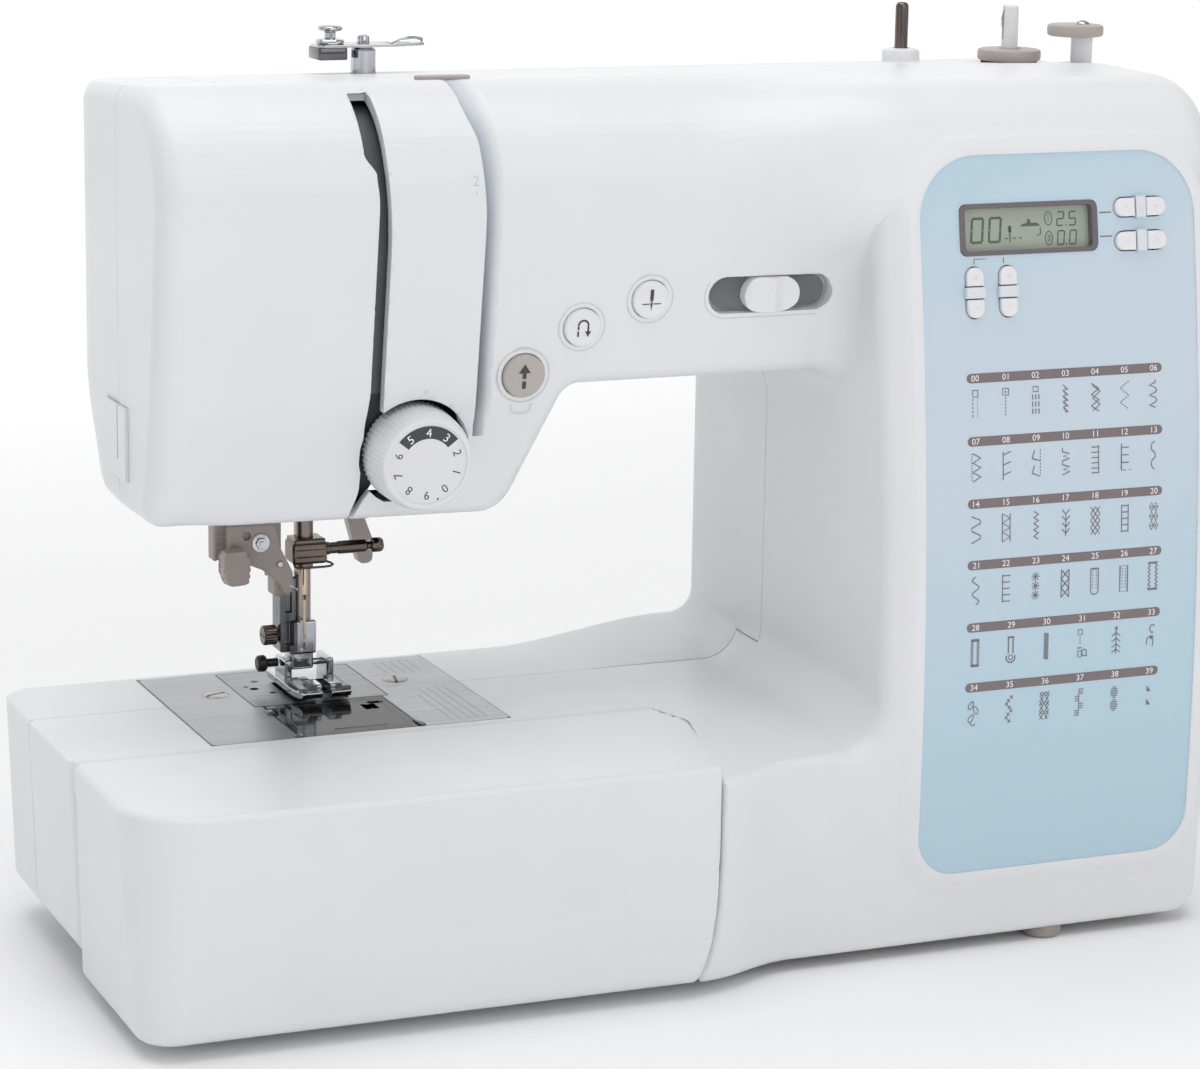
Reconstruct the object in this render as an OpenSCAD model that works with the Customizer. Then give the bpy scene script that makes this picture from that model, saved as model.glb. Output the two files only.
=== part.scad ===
// Compact computer-controlled sewing machine, free arm, drop-in bobbin.
// Millimetres, +Z up, resting on z = 0. X runs along the machine to the
// handwheel, Y runs from the operator to the back.
// Every module works in the needle plate's own coordinates (x = y = 0 at the
// plate's centre, z = 0 on the sewing bed) and "place" moves it to the model's
// frame.

/* [Body] */
// Height of the sewing bed above the table
bed_h = 80; // [78:1:90]
// Height of the top of the head above the bed, at its left end
top_z = 218; // [216:1:224]
// Distance from the needle to the inner wall of the column
throat_x = 163; // [158:1:166]
// Right side of the column, measured from the needle
body_right = 297; // [296:0.2:297.6]
// How far the column's front face bulges
bulge = 10; // [8:0.5:11]
// Left side of the head, measured from the needle
head_left = 79; // [76:1:84]
// Height of the underside of the head above the bed
head_z = 79; // [77:1:80]
// Back face, measured from the needle plate's centre
rear_y = 50; // [50:1:54]
// Wall thickness of the mouldings
wall = 2.6; // [2.2:0.1:2.8]
// Left end of the free arm
arm_end = 102.5; // [100:0.5:110]

/* [Flat-bed attachment] */
// Front face of the attachment
box_front = 122.5; // [118:0.5:126]
// Wall thickness of the attachment
box_wall = 2.4; // [1.8:0.1:3]
// Radius of its front left corner
box_corner = 30; // [15:1:34]

/* [Control panel] */
// Right edge of the printed sheet
panel_right = 282.7; // [280:0.1:284]
// Thickness of the printed sheet
panel_t = 0.8; // [0.5:0.1:1]
// Length of a pair of keys
key_l = 19.8; // [18:0.2:20.2]
// Width of a key
key_w = 6.3; // [5.5:0.1:6.6]
// Width of the bridge between two keys
key_bridge = 3.8; // [3:0.1:4.4]
// Height of a key above the sheet
key_h = 1.5; // [1:0.1:2]

/* [Buttons and dial] */
// Radius of the start/stop button
start_r = 7.3; // [6.5:0.1:7.6]
// Radius of the two small buttons
small_r = 6.4; // [5.6:0.1:6.8]
// Height of the buttons above the housing
button_h = 1.8; // [1.2:0.1:2.4]
// Gap all round a button
button_gap = 0.4; // [0.3:0.05:0.6]
// Radius of the thread tension dial at its back
dial_r = 17.2; // [15:0.1:17.4]
// Thickness of the thread tension dial
dial_t = 17; // [14:0.5:17.5]
// Number of grips round the dial
dial_grips = 60; // [40:2:72]

/* [Needle mechanism] */
// Radius of the main shaft
shaft_r = 4; // [3.6:0.1:4.2]
// Height of the main shaft above the bed
shaft_z = 160; // [160:0.5:161]
// Crank throw, half of the needle bar's stroke
throw_r = 15; // [14:0.5:15]
// Radius of the needle bar
bar_r = 3; // [2.8:0.05:3.05]
// Radial running clearance of bars and shafts
run = 0.05; // [0.02:0.01:0.08]
// Left needle position, where the straight stitch is sewn
needle_x = -3.5; // [-3.5:0.1:-3.3]
// Distance of the needle behind the plate's centre
needle_y = 8; // [8:0.1:8.2]
// Radius of the handwheel
wheel_r = 34; // [30:1:36]

/* [Hook and bobbin] */
// Distance of the hook shaft in front of the plate's centre
hook_y = 12.5; // [12.5:0.1:12.8]
// Radius of the rotary hook
hook_r = 18.8; // [18.4:0.1:18.8]
// Radius of the bobbin
bobbin_r = 10.2; // [10:0.05:10.3]
// Height of the bobbin
bobbin_h = 11.4; // [11:0.1:11.6]

/* [Hidden] */

$fn = 48;
off_x = 105.8;          // model frame origin, from the plate's centre
off_y = -37.3;
needle_down = 2*throw_r;

// ---------- helpers ----------
function unit2(v) = v/norm(v);
// one rounded corner of a polygon
function corner2(a, b, c, r, n=6) = r <= 0.05 ? [b] : let(
    u = unit2(a-b), v = unit2(c-b), g = acos(max(-1, min(1, u*v))),
    m = unit2(u+v), o = b + m*(r/sin(g/2)),
    p = b + u*(r/tan(g/2)), q = b + v*(r/tan(g/2)),
    t0 = atan2(p.y-o.y, p.x-o.x), t1 = atan2(q.y-o.y, q.x-o.x),
    d = (t1-t0+540)%360-180)
  [for (i=[0:n]) o + r*[cos(t0+d*i/n), sin(t0+d*i/n)]];
// rounded polygon from [x, y, radius] triples
function rpoly(P, n=6) = let(k=len(P)) [for (i=[0:k-1])
    each corner2([P[(i+k-1)%k].x, P[(i+k-1)%k].y], [P[i].x, P[i].y],
                 [P[(i+1)%k].x, P[(i+1)%k].y], P[i].z, n)];
// stadium outline, length l along x, width w
function pill(l, w, n=10) = [for (i=[0:n]) [l/2-w/2+w/2*sin(180*i/n), -w/2*cos(180*i/n)],
    for (i=[0:n]) [-l/2+w/2-w/2*sin(180*i/n), w/2*cos(180*i/n)]];
module place() translate([-off_x, -off_y, bed_h]) children();
module ex(x0, x1) translate([x0,0,0]) rotate([90,0,90]) linear_extrude(x1-x0) children();
module ey(y0, y1) translate([0,y1,0]) rotate([90,0,0]) linear_extrude(y1-y0) children();
module ez(z0, z1) translate([0,0,z0]) linear_extrude(z1-z0) children();
module bx(x0, x1, y0, y1, z0, z1) translate([x0,y0,z0]) cube([x1-x0, y1-y0, z1-z0]);
module cylx(x0, x1, y, z, r) translate([x0,y,z]) rotate([0,90,0]) cylinder(h=x1-x0, r=r);
module cyly(y0, y1, x, z, r) translate([x,y0,z]) rotate([-90,0,0]) cylinder(h=y1-y0, r=r);
module cylz(z0, z1, x, y, r) translate([x,y,z0]) cylinder(h=z1-z0, r=r);

// front face of the column: it leans forward towards the bottom and bulges
function front_y(z) = -110.3 + 0.0702*(z+75) - bulge*(1-pow((z-68.5)/143.5, 2));
function front_lean(z) = atan(0.0702 + 2*bulge*(z-68.5)/143.5/143.5);
module on_panel(x, z) translate([x, front_y(z), z]) rotate([90-front_lean(z),0,0]) children();
// front face of the arm, leaning inwards towards the bottom
arm_lean = 8.05;
function arm_y(z) = -69.3 - 0.1415*(z-115);
module on_arm(x, z) translate([x, arm_y(z), z]) rotate([90+arm_lean,0,0]) children();
// tension dial frame, face at its origin
dial_lean = 5;
dial_c = [9.8, -79, 97.8];
module on_dial() translate(dial_c) rotate([90+dial_lean,0,0]) children();

start_p = [45.8, 124.0];
reverse_p = [65.6, 139.4];
needle_p = [89.5, 147.8];
slider_p = [133.6, 147.7];
lcd_p = [217.65, 169.8];
// each pair of keys: centre x, z, angle of its length
key_pairs = [[260.9,175.35,0], [260.9,164.05,0], [195.95,149.1,90], [208.65,149.1,90]];
spool_p = [232, 25];
winder_p = [263.2, 0];
stopper_p = [281.6, -20];

// ---------- outer form, t = inset ----------
// front view of the body, open at the throat
function c_shape(t) = rpoly([[-head_left+t,head_z+t,5], [31-0.44*t,head_z+t,12],
  [71-0.4*t,122+t,20+t], [throat_x+t,126.3+t,20+t], [throat_x+t,0-t,18+t], [60+t,0.01-t,0],
  [60+t,-75+t,2], [body_right-t,-75+t,5-t/2], [body_right-t,top_z-t,11-t], [-head_left+t,top_z-t,11-t]]);
// side views of the arm, the column and the base
function arm_side(t) = rpoly([[-60+t,head_z-5,0], [-60+t,head_z+3+t,3], [-69.3+t,115,30], [-78.5+t,179,0],
  [-78.5+t,top_z-t,36-t], [-35,top_z+0.3-t,0], [rear_y-t,top_z-4.8-t,14-t], [rear_y-t,head_z-5,0]]);
function column_side(t) = rpoly(concat([[front_y(-76)+t,-76,0]], [for (z=[-60:20:200]) [front_y(z)+t,z,0]],
  [[front_y(200)+3.4+t,top_z-0.8-t,16-t], [-35,top_z+0.3-t,0], [rear_y-t,top_z-4.8-t,14-t], [rear_y-t,-76,0]]));
function base_side(t) = rpoly([[front_y(-76)+t,-76,0], [front_y(-60)+t,-60,0], [front_y(-40)+t,-40,0],
  [front_y(-20)+t,-20,0], [front_y(-9)+t,-8-t,4], [-99,-3-t,6], [-70,-t,20], [rear_y-t,-t+0.02,3], [rear_y-t,-76,0]]);
module base_plan(t, f=-118) polygon([[109.4+0.217*(68+f)+1.1*t,f+t], [109.4+t,-68], [104.8+t,-52+t/2],
    [104.8+t,-47+t], [60+t,-47+t], [60+t,rear_y-t], [body_right-t,rear_y-t], [body_right-t,f+t]]);
module form(t) {
  intersection() {
    ey(-125, 60) polygon(c_shape(t));
    union() {
      ex(-90, throat_x+t+3) polygon(arm_side(t));
      ex(throat_x+t, 300) polygon(column_side(t));
      intersection() {
        ex(50, throat_x+t+1) polygon(base_side(t));
        ez(-80, 30) base_plan(t);
      }
    }
  }
  ez(-66+t, -t-0.03) polygon(rpoly([[-arm_end+t,-49.5+t,5-t/2],
    [170,-49.5+t,0], [170,rear_y-t-0.04,0], [-arm_end+t,rear_y-t-0.04,14-t]]));
}

// everything cut out of both shells
module shell_cuts() {
  bx(-53.4, 53.4, -44.8, 45.8, -4, 1);                  // needle plate
  bx(-44, 36, -30, 46.5, head_z-3, head_z+3.2);         // needle area
  bx(20, 46, 33, 46.5, head_z-3, head_z+17);            // lifter lever
  bx(-7.5, -1.5, -90, -30, head_z-2, top_z+2);          // thread slot
  cylx(285, 300, needle_y, shaft_z, 19.5);              // handwheel neck
  ez(-77, -75+wall+0.2) base_plan(wall+0.2, -110.3);    // base plate
  bx(-84, -head_left+2.8, -38.2, -13.8, 89.8, 114.2);   // thread cutter
  on_arm(start_p.x, start_p.y) cylinder(h=30, r=start_r+button_gap, center=true);
  on_arm(reverse_p.x, reverse_p.y) cylinder(h=30, r=small_r+button_gap, center=true);
  on_arm(needle_p.x, needle_p.y) cylinder(h=30, r=small_r+button_gap, center=true);
  // speed slider
  on_arm(slider_p.x, slider_p.y) translate([0,0,-4.6]) linear_extrude(12) polygon(pill(45.4, 12.9));
  on_arm(slider_p.x, slider_p.y) translate([-15.5,-2.3,-10]) cube([31,4.6,12]);
  // tension dial well
  intersection() {
    on_dial() translate([0,0,-19]) cylinder(h=30, r=19.3);
    bx(-30, 50, -110, -40, 82.5, 130);
  }
  on_dial() translate([0,0,-30]) cylinder(h=20, r=3+run);
  // display and keys
  on_panel(lcd_p.x, lcd_p.y) translate([-26.9,-8.9,-9]) cube([53.8,17.8,12]);
  for (k=key_pairs) on_panel(k.x, k.y) rotate(k.z) translate([0,0,-8])
    linear_extrude(12) polygon(pill((k.z==0 ? key_l : key_l-2.8)+0.8, key_w+0.8));
  // top: spool pin, bobbin winder, stopper, thread guide
  cylz(190, 230, spool_p.x, spool_p.y, 2.4+run);
  ez(200, 225) translate([winder_p.x+2, winder_p.y]) polygon(pill(12.6, 7.6));
  cylz(214.4, 225, winder_p.x+4.4, winder_p.y, 18.2);
  cylz(200, 225, stopper_p.x, stopper_p.y, 3.9);
  cylz(200, 225, 23.6, 25, 4.4);
  // right side: inlet block and switch
  bx(body_right-4, body_right+1, 8.8, 35.2, -60.2, -31.8);
  bx(body_right-5, body_right+1, 14.6, 29.4, -25.4, -4.6);
}
// pockets and bosses that belong to the front shell
module front_adds() {
  on_arm(slider_p.x, slider_p.y) translate([-25,-9,-6.8]) cube([50,18,5]);
}
module rear_adds() {
  bx(66, 154, 24, rear_y-1, 180, 206);                  // carrying grip
  cylz(204, 218.2, spool_p.x, spool_p.y, 6.9);          // spool pin base
}
module shell() difference() {
  union() { difference() { form(0); form(wall); } children(); }
  shell_cuts();
}
module front_zone() {
  difference() {
    ex(-200, 400) polygon([[-200,-100], [7,-100], [7,10], [-13,10], [-13,300], [-200,300]]);
    bx(-200, -45, -27, 60, head_z-3, 300);
  }
}
module front_shell() place() color("white") {
  intersection() { shell() front_adds(); front_zone(); }
}
module rear_shell() place() color("white") difference() {
  intersection() {
    shell() rear_adds();
    difference() {
      ex(-200, 400) polygon([[7.1,-100], [7.1,10.1], [-12.9,10.1], [-12.9,300], [100,300], [100,-100]]);
      bx(-200, -44.9, -60, 60, head_z-3, 300);
    }
  }
  bx(68.5, 151.5, 26.5, rear_y+2, 182.5, 203.5);
}
module face_cover() place() color("white") intersection() {
  shell();
  bx(-200, -45, -26.9, 60, head_z-3, 300);
}
module base_plate() place() color("gainsboro") difference() {
  ez(-75, -75+wall) base_plan(wall+0.3, -110.3);
  for (x=[110:12:270]) for (y=[-20, 10]) bx(x, x+7, y, y+18, -76, -70);
}
feet = [[70,-30], [70,36], [232,-103], [275,36]];
module rubber_feet() place() color("rosybrown") for (p=feet) translate([p.x,p.y,-bed_h])
  rotate_extrude() polygon([[0,0], [6.2,0], [7,1], [7,3.2], [6,bed_h-75], [0,bed_h-75]]);

// ---------- control panel ----------
// the sheet follows the curve of the front face
module control_panel() place() color("lightblue") {
  difference() {
    intersection() {
      ex(170, 290) polygon(concat([for (z=[-60:20:200]) [front_y(z)-panel_t, z]],
        [for (i=[0:13]) [front_y(200-20*i), 200-20*i]]));
      ey(-125, -80) polygon(rpoly([[176,-51,15], [panel_right,-51,15], [panel_right,194.6,22], [176,194.6,22]], 8));
    }
    on_panel(lcd_p.x, lcd_p.y) translate([-26.9,-8.9,-9]) cube([53.8,17.8,12]);
    for (k=key_pairs) on_panel(k.x, k.y) rotate(k.z) translate([0,0,-3])
      linear_extrude(8) polygon(pill((k.z==0 ? key_l : key_l-2.8)+0.8, key_w+0.8));
  }
  // bridge between the two keys of a pair
  for (k=key_pairs) on_panel(k.x, k.y) rotate(k.z) translate([-key_bridge/2,-key_w/2-0.8,0.1])
    cube([key_bridge,key_w+1.6,panel_t+key_h-0.1]);
}
module lcd_window() place() color("dimgray") on_panel(lcd_p.x, lcd_p.y) difference() {
  translate([0,0,-4]) linear_extrude(5.2) polygon(rpoly([[-26.6,-8.65,3], [26.6,-8.65,3], [26.6,8.65,3], [-26.6,8.65,3]]));
  translate([0,0,-5]) linear_extrude(8) polygon(rpoly([[-24.5,-7.2,1.5], [24.5,-7.2,1.5], [24.5,7.2,1.5], [-24.5,7.2,1.5]]));
}
module main_board() place() color("darkseagreen") {
  bx(182, 274, -86.5, -84.9, 20, 186);
  on_panel(lcd_p.x, lcd_p.y) translate([-25.5,-8.3,-6.3]) cube([51,16.6,2]);
  for (x=[200, 230]) bx(x, x+5, -92.5, -86.5, 166, 172);
}
// one key of a pair: flat end against the bridge, round end outside
module key_end(l, w) translate([0,0,-3.4]) linear_extrude(3.4+panel_t+key_h)
  polygon(concat([[key_bridge/2+0.35,w/2], [key_bridge/2+0.35,-w/2]],
    [for (i=[0:10]) [l/2-w/2+w/2*sin(18*i), -w/2*cos(18*i)]]));
module key_of(i, side) place() color("white") on_panel(key_pairs[i].x, key_pairs[i].y)
  rotate(key_pairs[i].z+(side>0 ? 0 : 180)) key_end(i<2 ? key_l : key_l-2.8, key_w);
module length_minus() key_of(0, -1);
module length_plus() key_of(0, 1);
module width_minus() key_of(1, -1);
module width_plus() key_of(1, 1);
module tens_plus() key_of(2, 1);
module tens_minus() key_of(2, -1);
module units_plus() key_of(3, 1);
module units_minus() key_of(3, -1);

module push_button(r) {
  translate([0,0,-6]) cylinder(h=6+button_h, r=r);
  translate([0,0,-7.4]) cylinder(h=1.8, r=r+1.4);
}
module start_button() place() color("rosybrown") on_arm(start_p.x, start_p.y) push_button(start_r);
module reverse_button() place() color("whitesmoke") on_arm(reverse_p.x, reverse_p.y) push_button(small_r);
module needle_button() place() color("whitesmoke") on_arm(needle_p.x, needle_p.y) push_button(small_r);
module speed_slider() place() color("white") on_arm(slider_p.x, slider_p.y) {
  translate([0,0,-4.2]) linear_extrude(6.6) polygon(rpoly([[-10.2,-6,5], [10.2,-6,5], [10.2,6,5], [-10.2,6,5]]));
  translate([-3,-1.9,-8.2]) cube([6,3.8,5]);
  translate([-5,-5,-9.4]) cube([10,10,1.8]);
}
module tension_dial() place() color("white") on_dial() difference() {
  union() {
    rotate_extrude() polygon([[0,-dial_t], [dial_r,-dial_t], [dial_r-0.5,-6], [dial_r-1.6,-1.2],
      [dial_r-2.6,0], [13.6,0], [13.4,-0.7], [0,-0.7]]);
    translate([0,0,-28]) cylinder(h=28-dial_t+0.5, r=3);
  }
  for (i=[0:dial_grips-1]) rotate(360/dial_grips*i) translate([dial_r+0.35,0,-dial_t-1])
    cylinder(h=dial_t-3, r=0.75, $fn=8);
}

// ---------- bed ----------
plate_bolts = [[-33.2,17], [33.2,16.5]];
module needle_plate() place() color("lightgray") difference() {
  ez(-1.6, 0) polygon(rpoly([[-53.1,-44.5,2], [53.1,-44.5,2], [53.1,45.5,2], [-53.1,45.5,2]]));
  bx(-25.3, 23.7, -3, 43.2, -3, 1);
  bx(-22.6, 21.1, -60, 0, -3, 1);
  for (p=plate_bolts) translate([p.x,p.y,-3]) { cylinder(h=5, r=2.1); translate([0,0,2.2]) cylinder(h=4, r=4.7); }
}
module plate_screws() place() color("silver") for (p=plate_bolts) translate([p.x,p.y,0]) difference() {
  union() { translate([0,0,-0.8]) cylinder(h=0.75, r=4.6); translate([0,0,-9]) cylinder(h=8.5, r=2); }
  translate([-5,-0.5,-0.45]) cube([10,1,2]);
}
module stitch_plate() place() color("gray") difference() {
  bx(-25, 23.4, -2.2, 43, -1.4, 0);
  for (s=[-1,1]) bx(s>0 ? 5.4 : -10, s>0 ? 10 : -5.4, -0.9, 27, -3, 1);
  bx(-2.9, 2.9, 10.4, 27, -3, 1);
  bx(-4.6, 4.6, 7, 9.2, -3, 1);
  translate([-18,20.5,-3]) cylinder(h=5, r=1.6);
  translate([-13.3,13.8,-3]) cylinder(h=5, r=1.1);
}
module bobbin_cover() place() color([0.25,0.23,0.22,0.6]) difference() {
  bx(-22.2, 20.7, -44.5, -3.2, -1.8, 0);
  ez(-3, 1) translate([16,-10]) polygon(pill(6, 3));
}
module bobbin_case() place() color("dimgray") translate([0,-hook_y,0]) difference() {
  union() {
    translate([0,0,-20.5]) cylinder(h=13.9, r=16.4);
    translate([0,0,-8.4]) cylinder(h=1.8, r=21.5);
  }
  translate([0,0,-19]) cylinder(h=20, r=11.2);
  bx(-30, 30, hook_y+2, 40, -30, 0);
}

// ---------- cast frame ----------
module cast_frame() place() color("slategray") difference() {
  union() {
    bx(-66, 60, 30, 35, 140, 209);
    bx(60, 270, 30, 35, 140, 176);
    bx(210, 270, 30, 35, -62, 140);
    bx(-60, 270, 30, 35, -62, -30);
    bx(-14, 24, 30, 35, 82, 140);
    // main shaft lugs
    for (x=[[24,34], [168,178], [262,270]]) { bx(x[0], x[1], needle_y, 30, shaft_z-12, shaft_z+12); cylx(x[0], x[1], needle_y, shaft_z, 12); }
    // lower shaft lugs
    for (x=[[20,30], [168,178]]) { bx(x[0], x[1], needle_y, 30, -51, -29); cylx(x[0], x[1], needle_y, -40, 11); }
    // hook shaft bearing
    bx(-8, 8, -hook_y, 30, -62, -56); cylz(-62, -56, 0, -hook_y, 10);
    // presser bar guides
    for (z=[84, 150]) bx(-6.5, 6.5, 16, 30, z, z+8);
    // needle bar frame pivot
    bx(-7, 7, 16, 30, 198, 209); cyly(9, 17, 0, 205, 3);
    // take-up lever carrier and pin
    bx(-20, -14, -22, 30, 176, 188); cylx(-15, -2.6, -16, 182, 2.5);
    // lifter lever pin
    cyly(35, 43.5, 12, 90, 3);
    // feed bar guide rods
    for (s=[-1,1]) { bx(s*14-3, s*14+3, 30, 35, -30, -11); cyly(9, 31, s*14, -16, 2); }
    // feet of the casting on the base plate
    for (x=[100, 240]) bx(x, x+16, 26, 35, -75+wall, -61);
    // seat of the needle plate, bosses for its screws and the bobbin case stops
    for (s=[-1,1]) {
      bx(s*49-3, s*49+3, -43, 34, -8, -1.6); bx(s*49-3, s*49+3, 28, 34, -31, -4);
      bx(s>0 ? 30 : -48, s>0 ? 48 : -30, 13, 21, -9, -1.6);
      bx(s>0 ? 20 : -48, s>0 ? 48 : -20, -15, -10, -6.6, -4.6);
    }
    // rail under the bobbin winder
    bx(246, 274, -12, 35, 185, 191); bx(246, 270, 30, 35, 170, 190);
  }
  cylx(0, 290, needle_y, shaft_z, shaft_r+run);
  cylx(0, 200, needle_y, -40, shaft_r+run);
  cylz(-63, -55, 0, -hook_y, shaft_r+run);
  for (p=plate_bolts) cylz(-10, 0, p.x, p.y, 2);
  cylz(80, 160, 0, 21, 3+run);
  for (x=[80:34:150]) bx(x, x+22, 29, 36, 146, 170);
  for (z=[-20:40:100]) bx(222, 258, 29, 36, z, z+28);
}
motor_c = [-38, 55];
module loop2(a, b, ra, rb, w, t) difference() {
  linear_extrude(w) hull() { translate(a) circle(ra+t, $fn=40); translate(b) circle(rb+t, $fn=24); }
  translate([0,0,-1]) linear_extrude(w+2) hull() { translate(a) circle(ra, $fn=40); translate(b) circle(rb, $fn=24); }
}
module drive_belts() place() color("darkslategray") {
  translate([182.5,0,0]) rotate([90,0,90]) loop2([needle_y,shaft_z], [needle_y,-40], 14.5, 14.5, 9, 1.6);
  translate([277,0,0]) rotate([90,0,90]) loop2([needle_y,shaft_z], motor_c, 30.6, 6.6, 8, 1.6);
}
module drive_motor() place() color("dimgray") difference() {
  union() {
    cylx(205, 262, motor_c.x, motor_c.y, 24);
    cylx(198, 205, motor_c.x, motor_c.y, 9);
    bx(262, 265, motor_c.x-24, 30, motor_c.y-24, motor_c.y+24);
  }
  cylx(240, 270, motor_c.x, motor_c.y, 3+run);
}
module motor_pulley() place() color("silver") {
  cylx(241, 288, motor_c.x, motor_c.y, 3);
  cylx(275, 287, motor_c.x, motor_c.y, 6);
  cylx(274, 275.5, motor_c.x, motor_c.y, 9);
}

// ---------- main shaft group ----------
module main_shaft() place() color("silver") {
  // crank disc with its counterweight and pin
  intersection() { cylx(13, 20, needle_y, shaft_z, 20); bx(12, 21, needle_y-21, needle_y+21, shaft_z-21, shaft_z+2); }
  cylx(13, 20, needle_y, shaft_z, 12);
  bx(13, 20, needle_y-7, needle_y+7, shaft_z, shaft_z+throw_r);
  cylx(13, 20, needle_y, shaft_z+throw_r, 7);
  cylx(6.9, 14, needle_y, shaft_z+throw_r, 3);
  cylx(19, 306, needle_y, shaft_z, shaft_r);
  cylx(182, 192, needle_y, shaft_z, 14);
  for (x=[181, 192]) cylx(x, x+1, needle_y, shaft_z, 17);
  cylx(235, 243, needle_y, shaft_z, 8);
}
module handwheel() place() color("white") translate([0,needle_y,shaft_z]) rotate([0,90,0]) difference() {
  rotate_extrude($fn=96) polygon([[shaft_r,276], [30,276], [30,286], [18,286], [18,298.6],
    [wheel_r-3,298.6], [wheel_r-0.8,299.6], [wheel_r,301.7], [wheel_r,309.2], [wheel_r-1,311.6],
    [wheel_r-4,313.6], [wheel_r-9,313.6], [wheel_r-12,310], [10,309], [8,310.5], [shaft_r,310.5]]);
  for (i=[0:35]) rotate(10*i) translate([wheel_r+1.2,0,301]) cylinder(h=9, r=1.8, $fn=8);
}
module connecting_link() place() color("silver") difference() {
  union() {
    cylx(7.5, 11.5, needle_y, shaft_z+throw_r, 6.5);
    cylx(7.5, 11.5, needle_y, shaft_z+throw_r-40, 5.5);
    bx(7.5, 11.5, needle_y-3.5, needle_y+3.5, shaft_z+throw_r-39, shaft_z+throw_r-2);
  }
  cylx(6, 13, needle_y, shaft_z+throw_r, 3+run);
  cylx(6, 13, needle_y, shaft_z+throw_r-40, 2.8);
}

// ---------- needle bar group ----------
module needle_bar_frame() place() color("slategray") difference() {
  union() {
    bx(-12, 3.3, 11.9, 14.9, 88, 205);
    cyly(11.9, 14.9, 0, 205, 6.8);
    bx(-21, 3, 1, 12.5, 88, 96);
    bx(-10.5, 3, 1, 12.5, 150, 162);
  }
  cyly(10, 16, 0, 205, 3+run);
  cylz(80, 170, needle_x, needle_y, bar_r+run);
  cylz(80, 100, -16, needle_y, 2+run);
}
module needle_bar() place() color([0.55,0.5,0.47]) difference() {
  union() {
    cylz(46, 196, needle_x, needle_y, bar_r);
    intersection() { cylz(129, 141, needle_x, needle_y, 6); bx(-20, 20, -10, 11.4, 120, 150); }
    cylx(0, 3.2, needle_y, shaft_z+throw_r-40, 2.4);
  }
  cylz(40, 52, needle_x, needle_y, 1.03);
}
module needle_clamp() place() color([0.45,0.4,0.38]) difference() {
  union() {
    ez(47.7, 55.5) polygon(rpoly([[-9.3,2.4,1.4], [3.2,2.4,1.4], [3.2,13.2,1.4], [-9.3,13.2,1.4]]));
    bx(-8.5, 6.5, 3, 4.2, 46.8, 47.7);
  }
  cylz(40, 60, needle_x, needle_y, bar_r);
}
module clamp_screw() place() color([0.45,0.4,0.38]) difference() {
  union() {
    cylx(3.2, 19.4, needle_y, 51.8, 2.25);
    cylx(19.2, 20.4, needle_y, 51.8, 1.5);
    cylx(20.2, 24.9, needle_y, 51.8, 2.6);
  }
  bx(22.2, 26, 0, 20, 51.3, 52.3);
}
module needle() place() color([0.85,0.75,0.6]) translate([needle_x,needle_y,0]) difference() {
  union() {
    translate([0,0,36]) cylinder(h=16, r=1.0);
    translate([0,0,34]) cylinder(h=2.01, r1=0.45, r2=1.0);
    translate([0,0,18.8]) cylinder(h=15.3, r=0.45);
    translate([0,0,16.6]) cylinder(h=2.3, r1=0.08, r2=0.45);
  }
  translate([-0.15,-1,20.2]) cube([0.3,2,1.5]);
}
module needle_threader() place() color("rosybrown") {
  cylz(44, 122, -16, needle_y, 2);
  bx(-31, -13, 4, 10.6, 46, 60);
  ey(-1, 4) polygon([[-35,57], [-24,66], [-15,64], [-10.4,50], [-10.4,44], [-17,44], [-25,47], [-31,50]]);
  ey(-8, -0.5) polygon(rpoly([[-38,43,1.5], [-28,41,1.5], [-25.5,54,1.5], [-36,56,1.5]]));
  bx(-19, -10.4, 3.5, 10.5, 38.5, 46.5);
}
module takeup_lever() place() color("silver") translate([0,-16,182]) difference() {
  union() {
    cylx(-5.6, -3.4, 0, 0, 6);
    ex(-5.6, -3.4) polygon([[0,4.5], [0,-4.5], [-30,3], [-48,6], [-51,9.5], [-49,12.5], [-45,12], [-46,9.8], [-28,9.6]]);
  }
  cylx(-8, 0, 0, 0, 2.5+run);
}

// ---------- presser foot group ----------
module presser_bar() place() color([0.55,0.5,0.47]) {
  cylz(24.5, 166, 0, 21, 3);
  cylz(120, 128, 0, 21, 4.9);
}
module foot_holder() place() color("silver") difference() {
  union() {
    ez(12.5, 24.5) polygon(rpoly([[-6.4,15.2,1], [3.4,15.2,1], [3.4,26.5,1], [-6.4,26.5,1]]));
    bx(-9.2, -3.4, 17.5, 27, 13, 40);
    bx(-5.6, 2.8, 17, 25, 6.6, 13);
  }
  cylz(24, 50, 0, 21, 3);
  cylx(-10, 6, 20, 8.4, 1.6);
  bx(-10, 6, 18.4, 21.6, 4, 8.4);
}
module holder_screw() place() color([0.5,0.42,0.38]) difference() {
  cylx(-14.8, -9.2, 21, 19, 3.5);
  bx(-16, -13.6, 10, 30, 18.5, 19.5);
}
module presser_foot() place() color("lightgray") difference() {
  union() {
    ex(-10.5, 10.5) polygon([[-6.5,3.6], [-5.9,2.4], [-4.6,1.6], [28,1.6], [29.8,2.2], [31,3.6], [30.6,4.2], [-6.2,4.2]]);
    for (s=[-1,1]) bx(s>0 ? 6.4 : -9, s>0 ? 9 : -6.4, 13, 25, 4, 11);
    bx(-6, 6, -5, 3, 4, 6.5);
    cylx(-9, 9, 20, 8.4, 1.25);
  }
  bx(-5.2, 5.2, 4.6, 11.4, 0, 8);
  bx(-1.6, 1.6, -10, 5, 0, 8);
}
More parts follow.
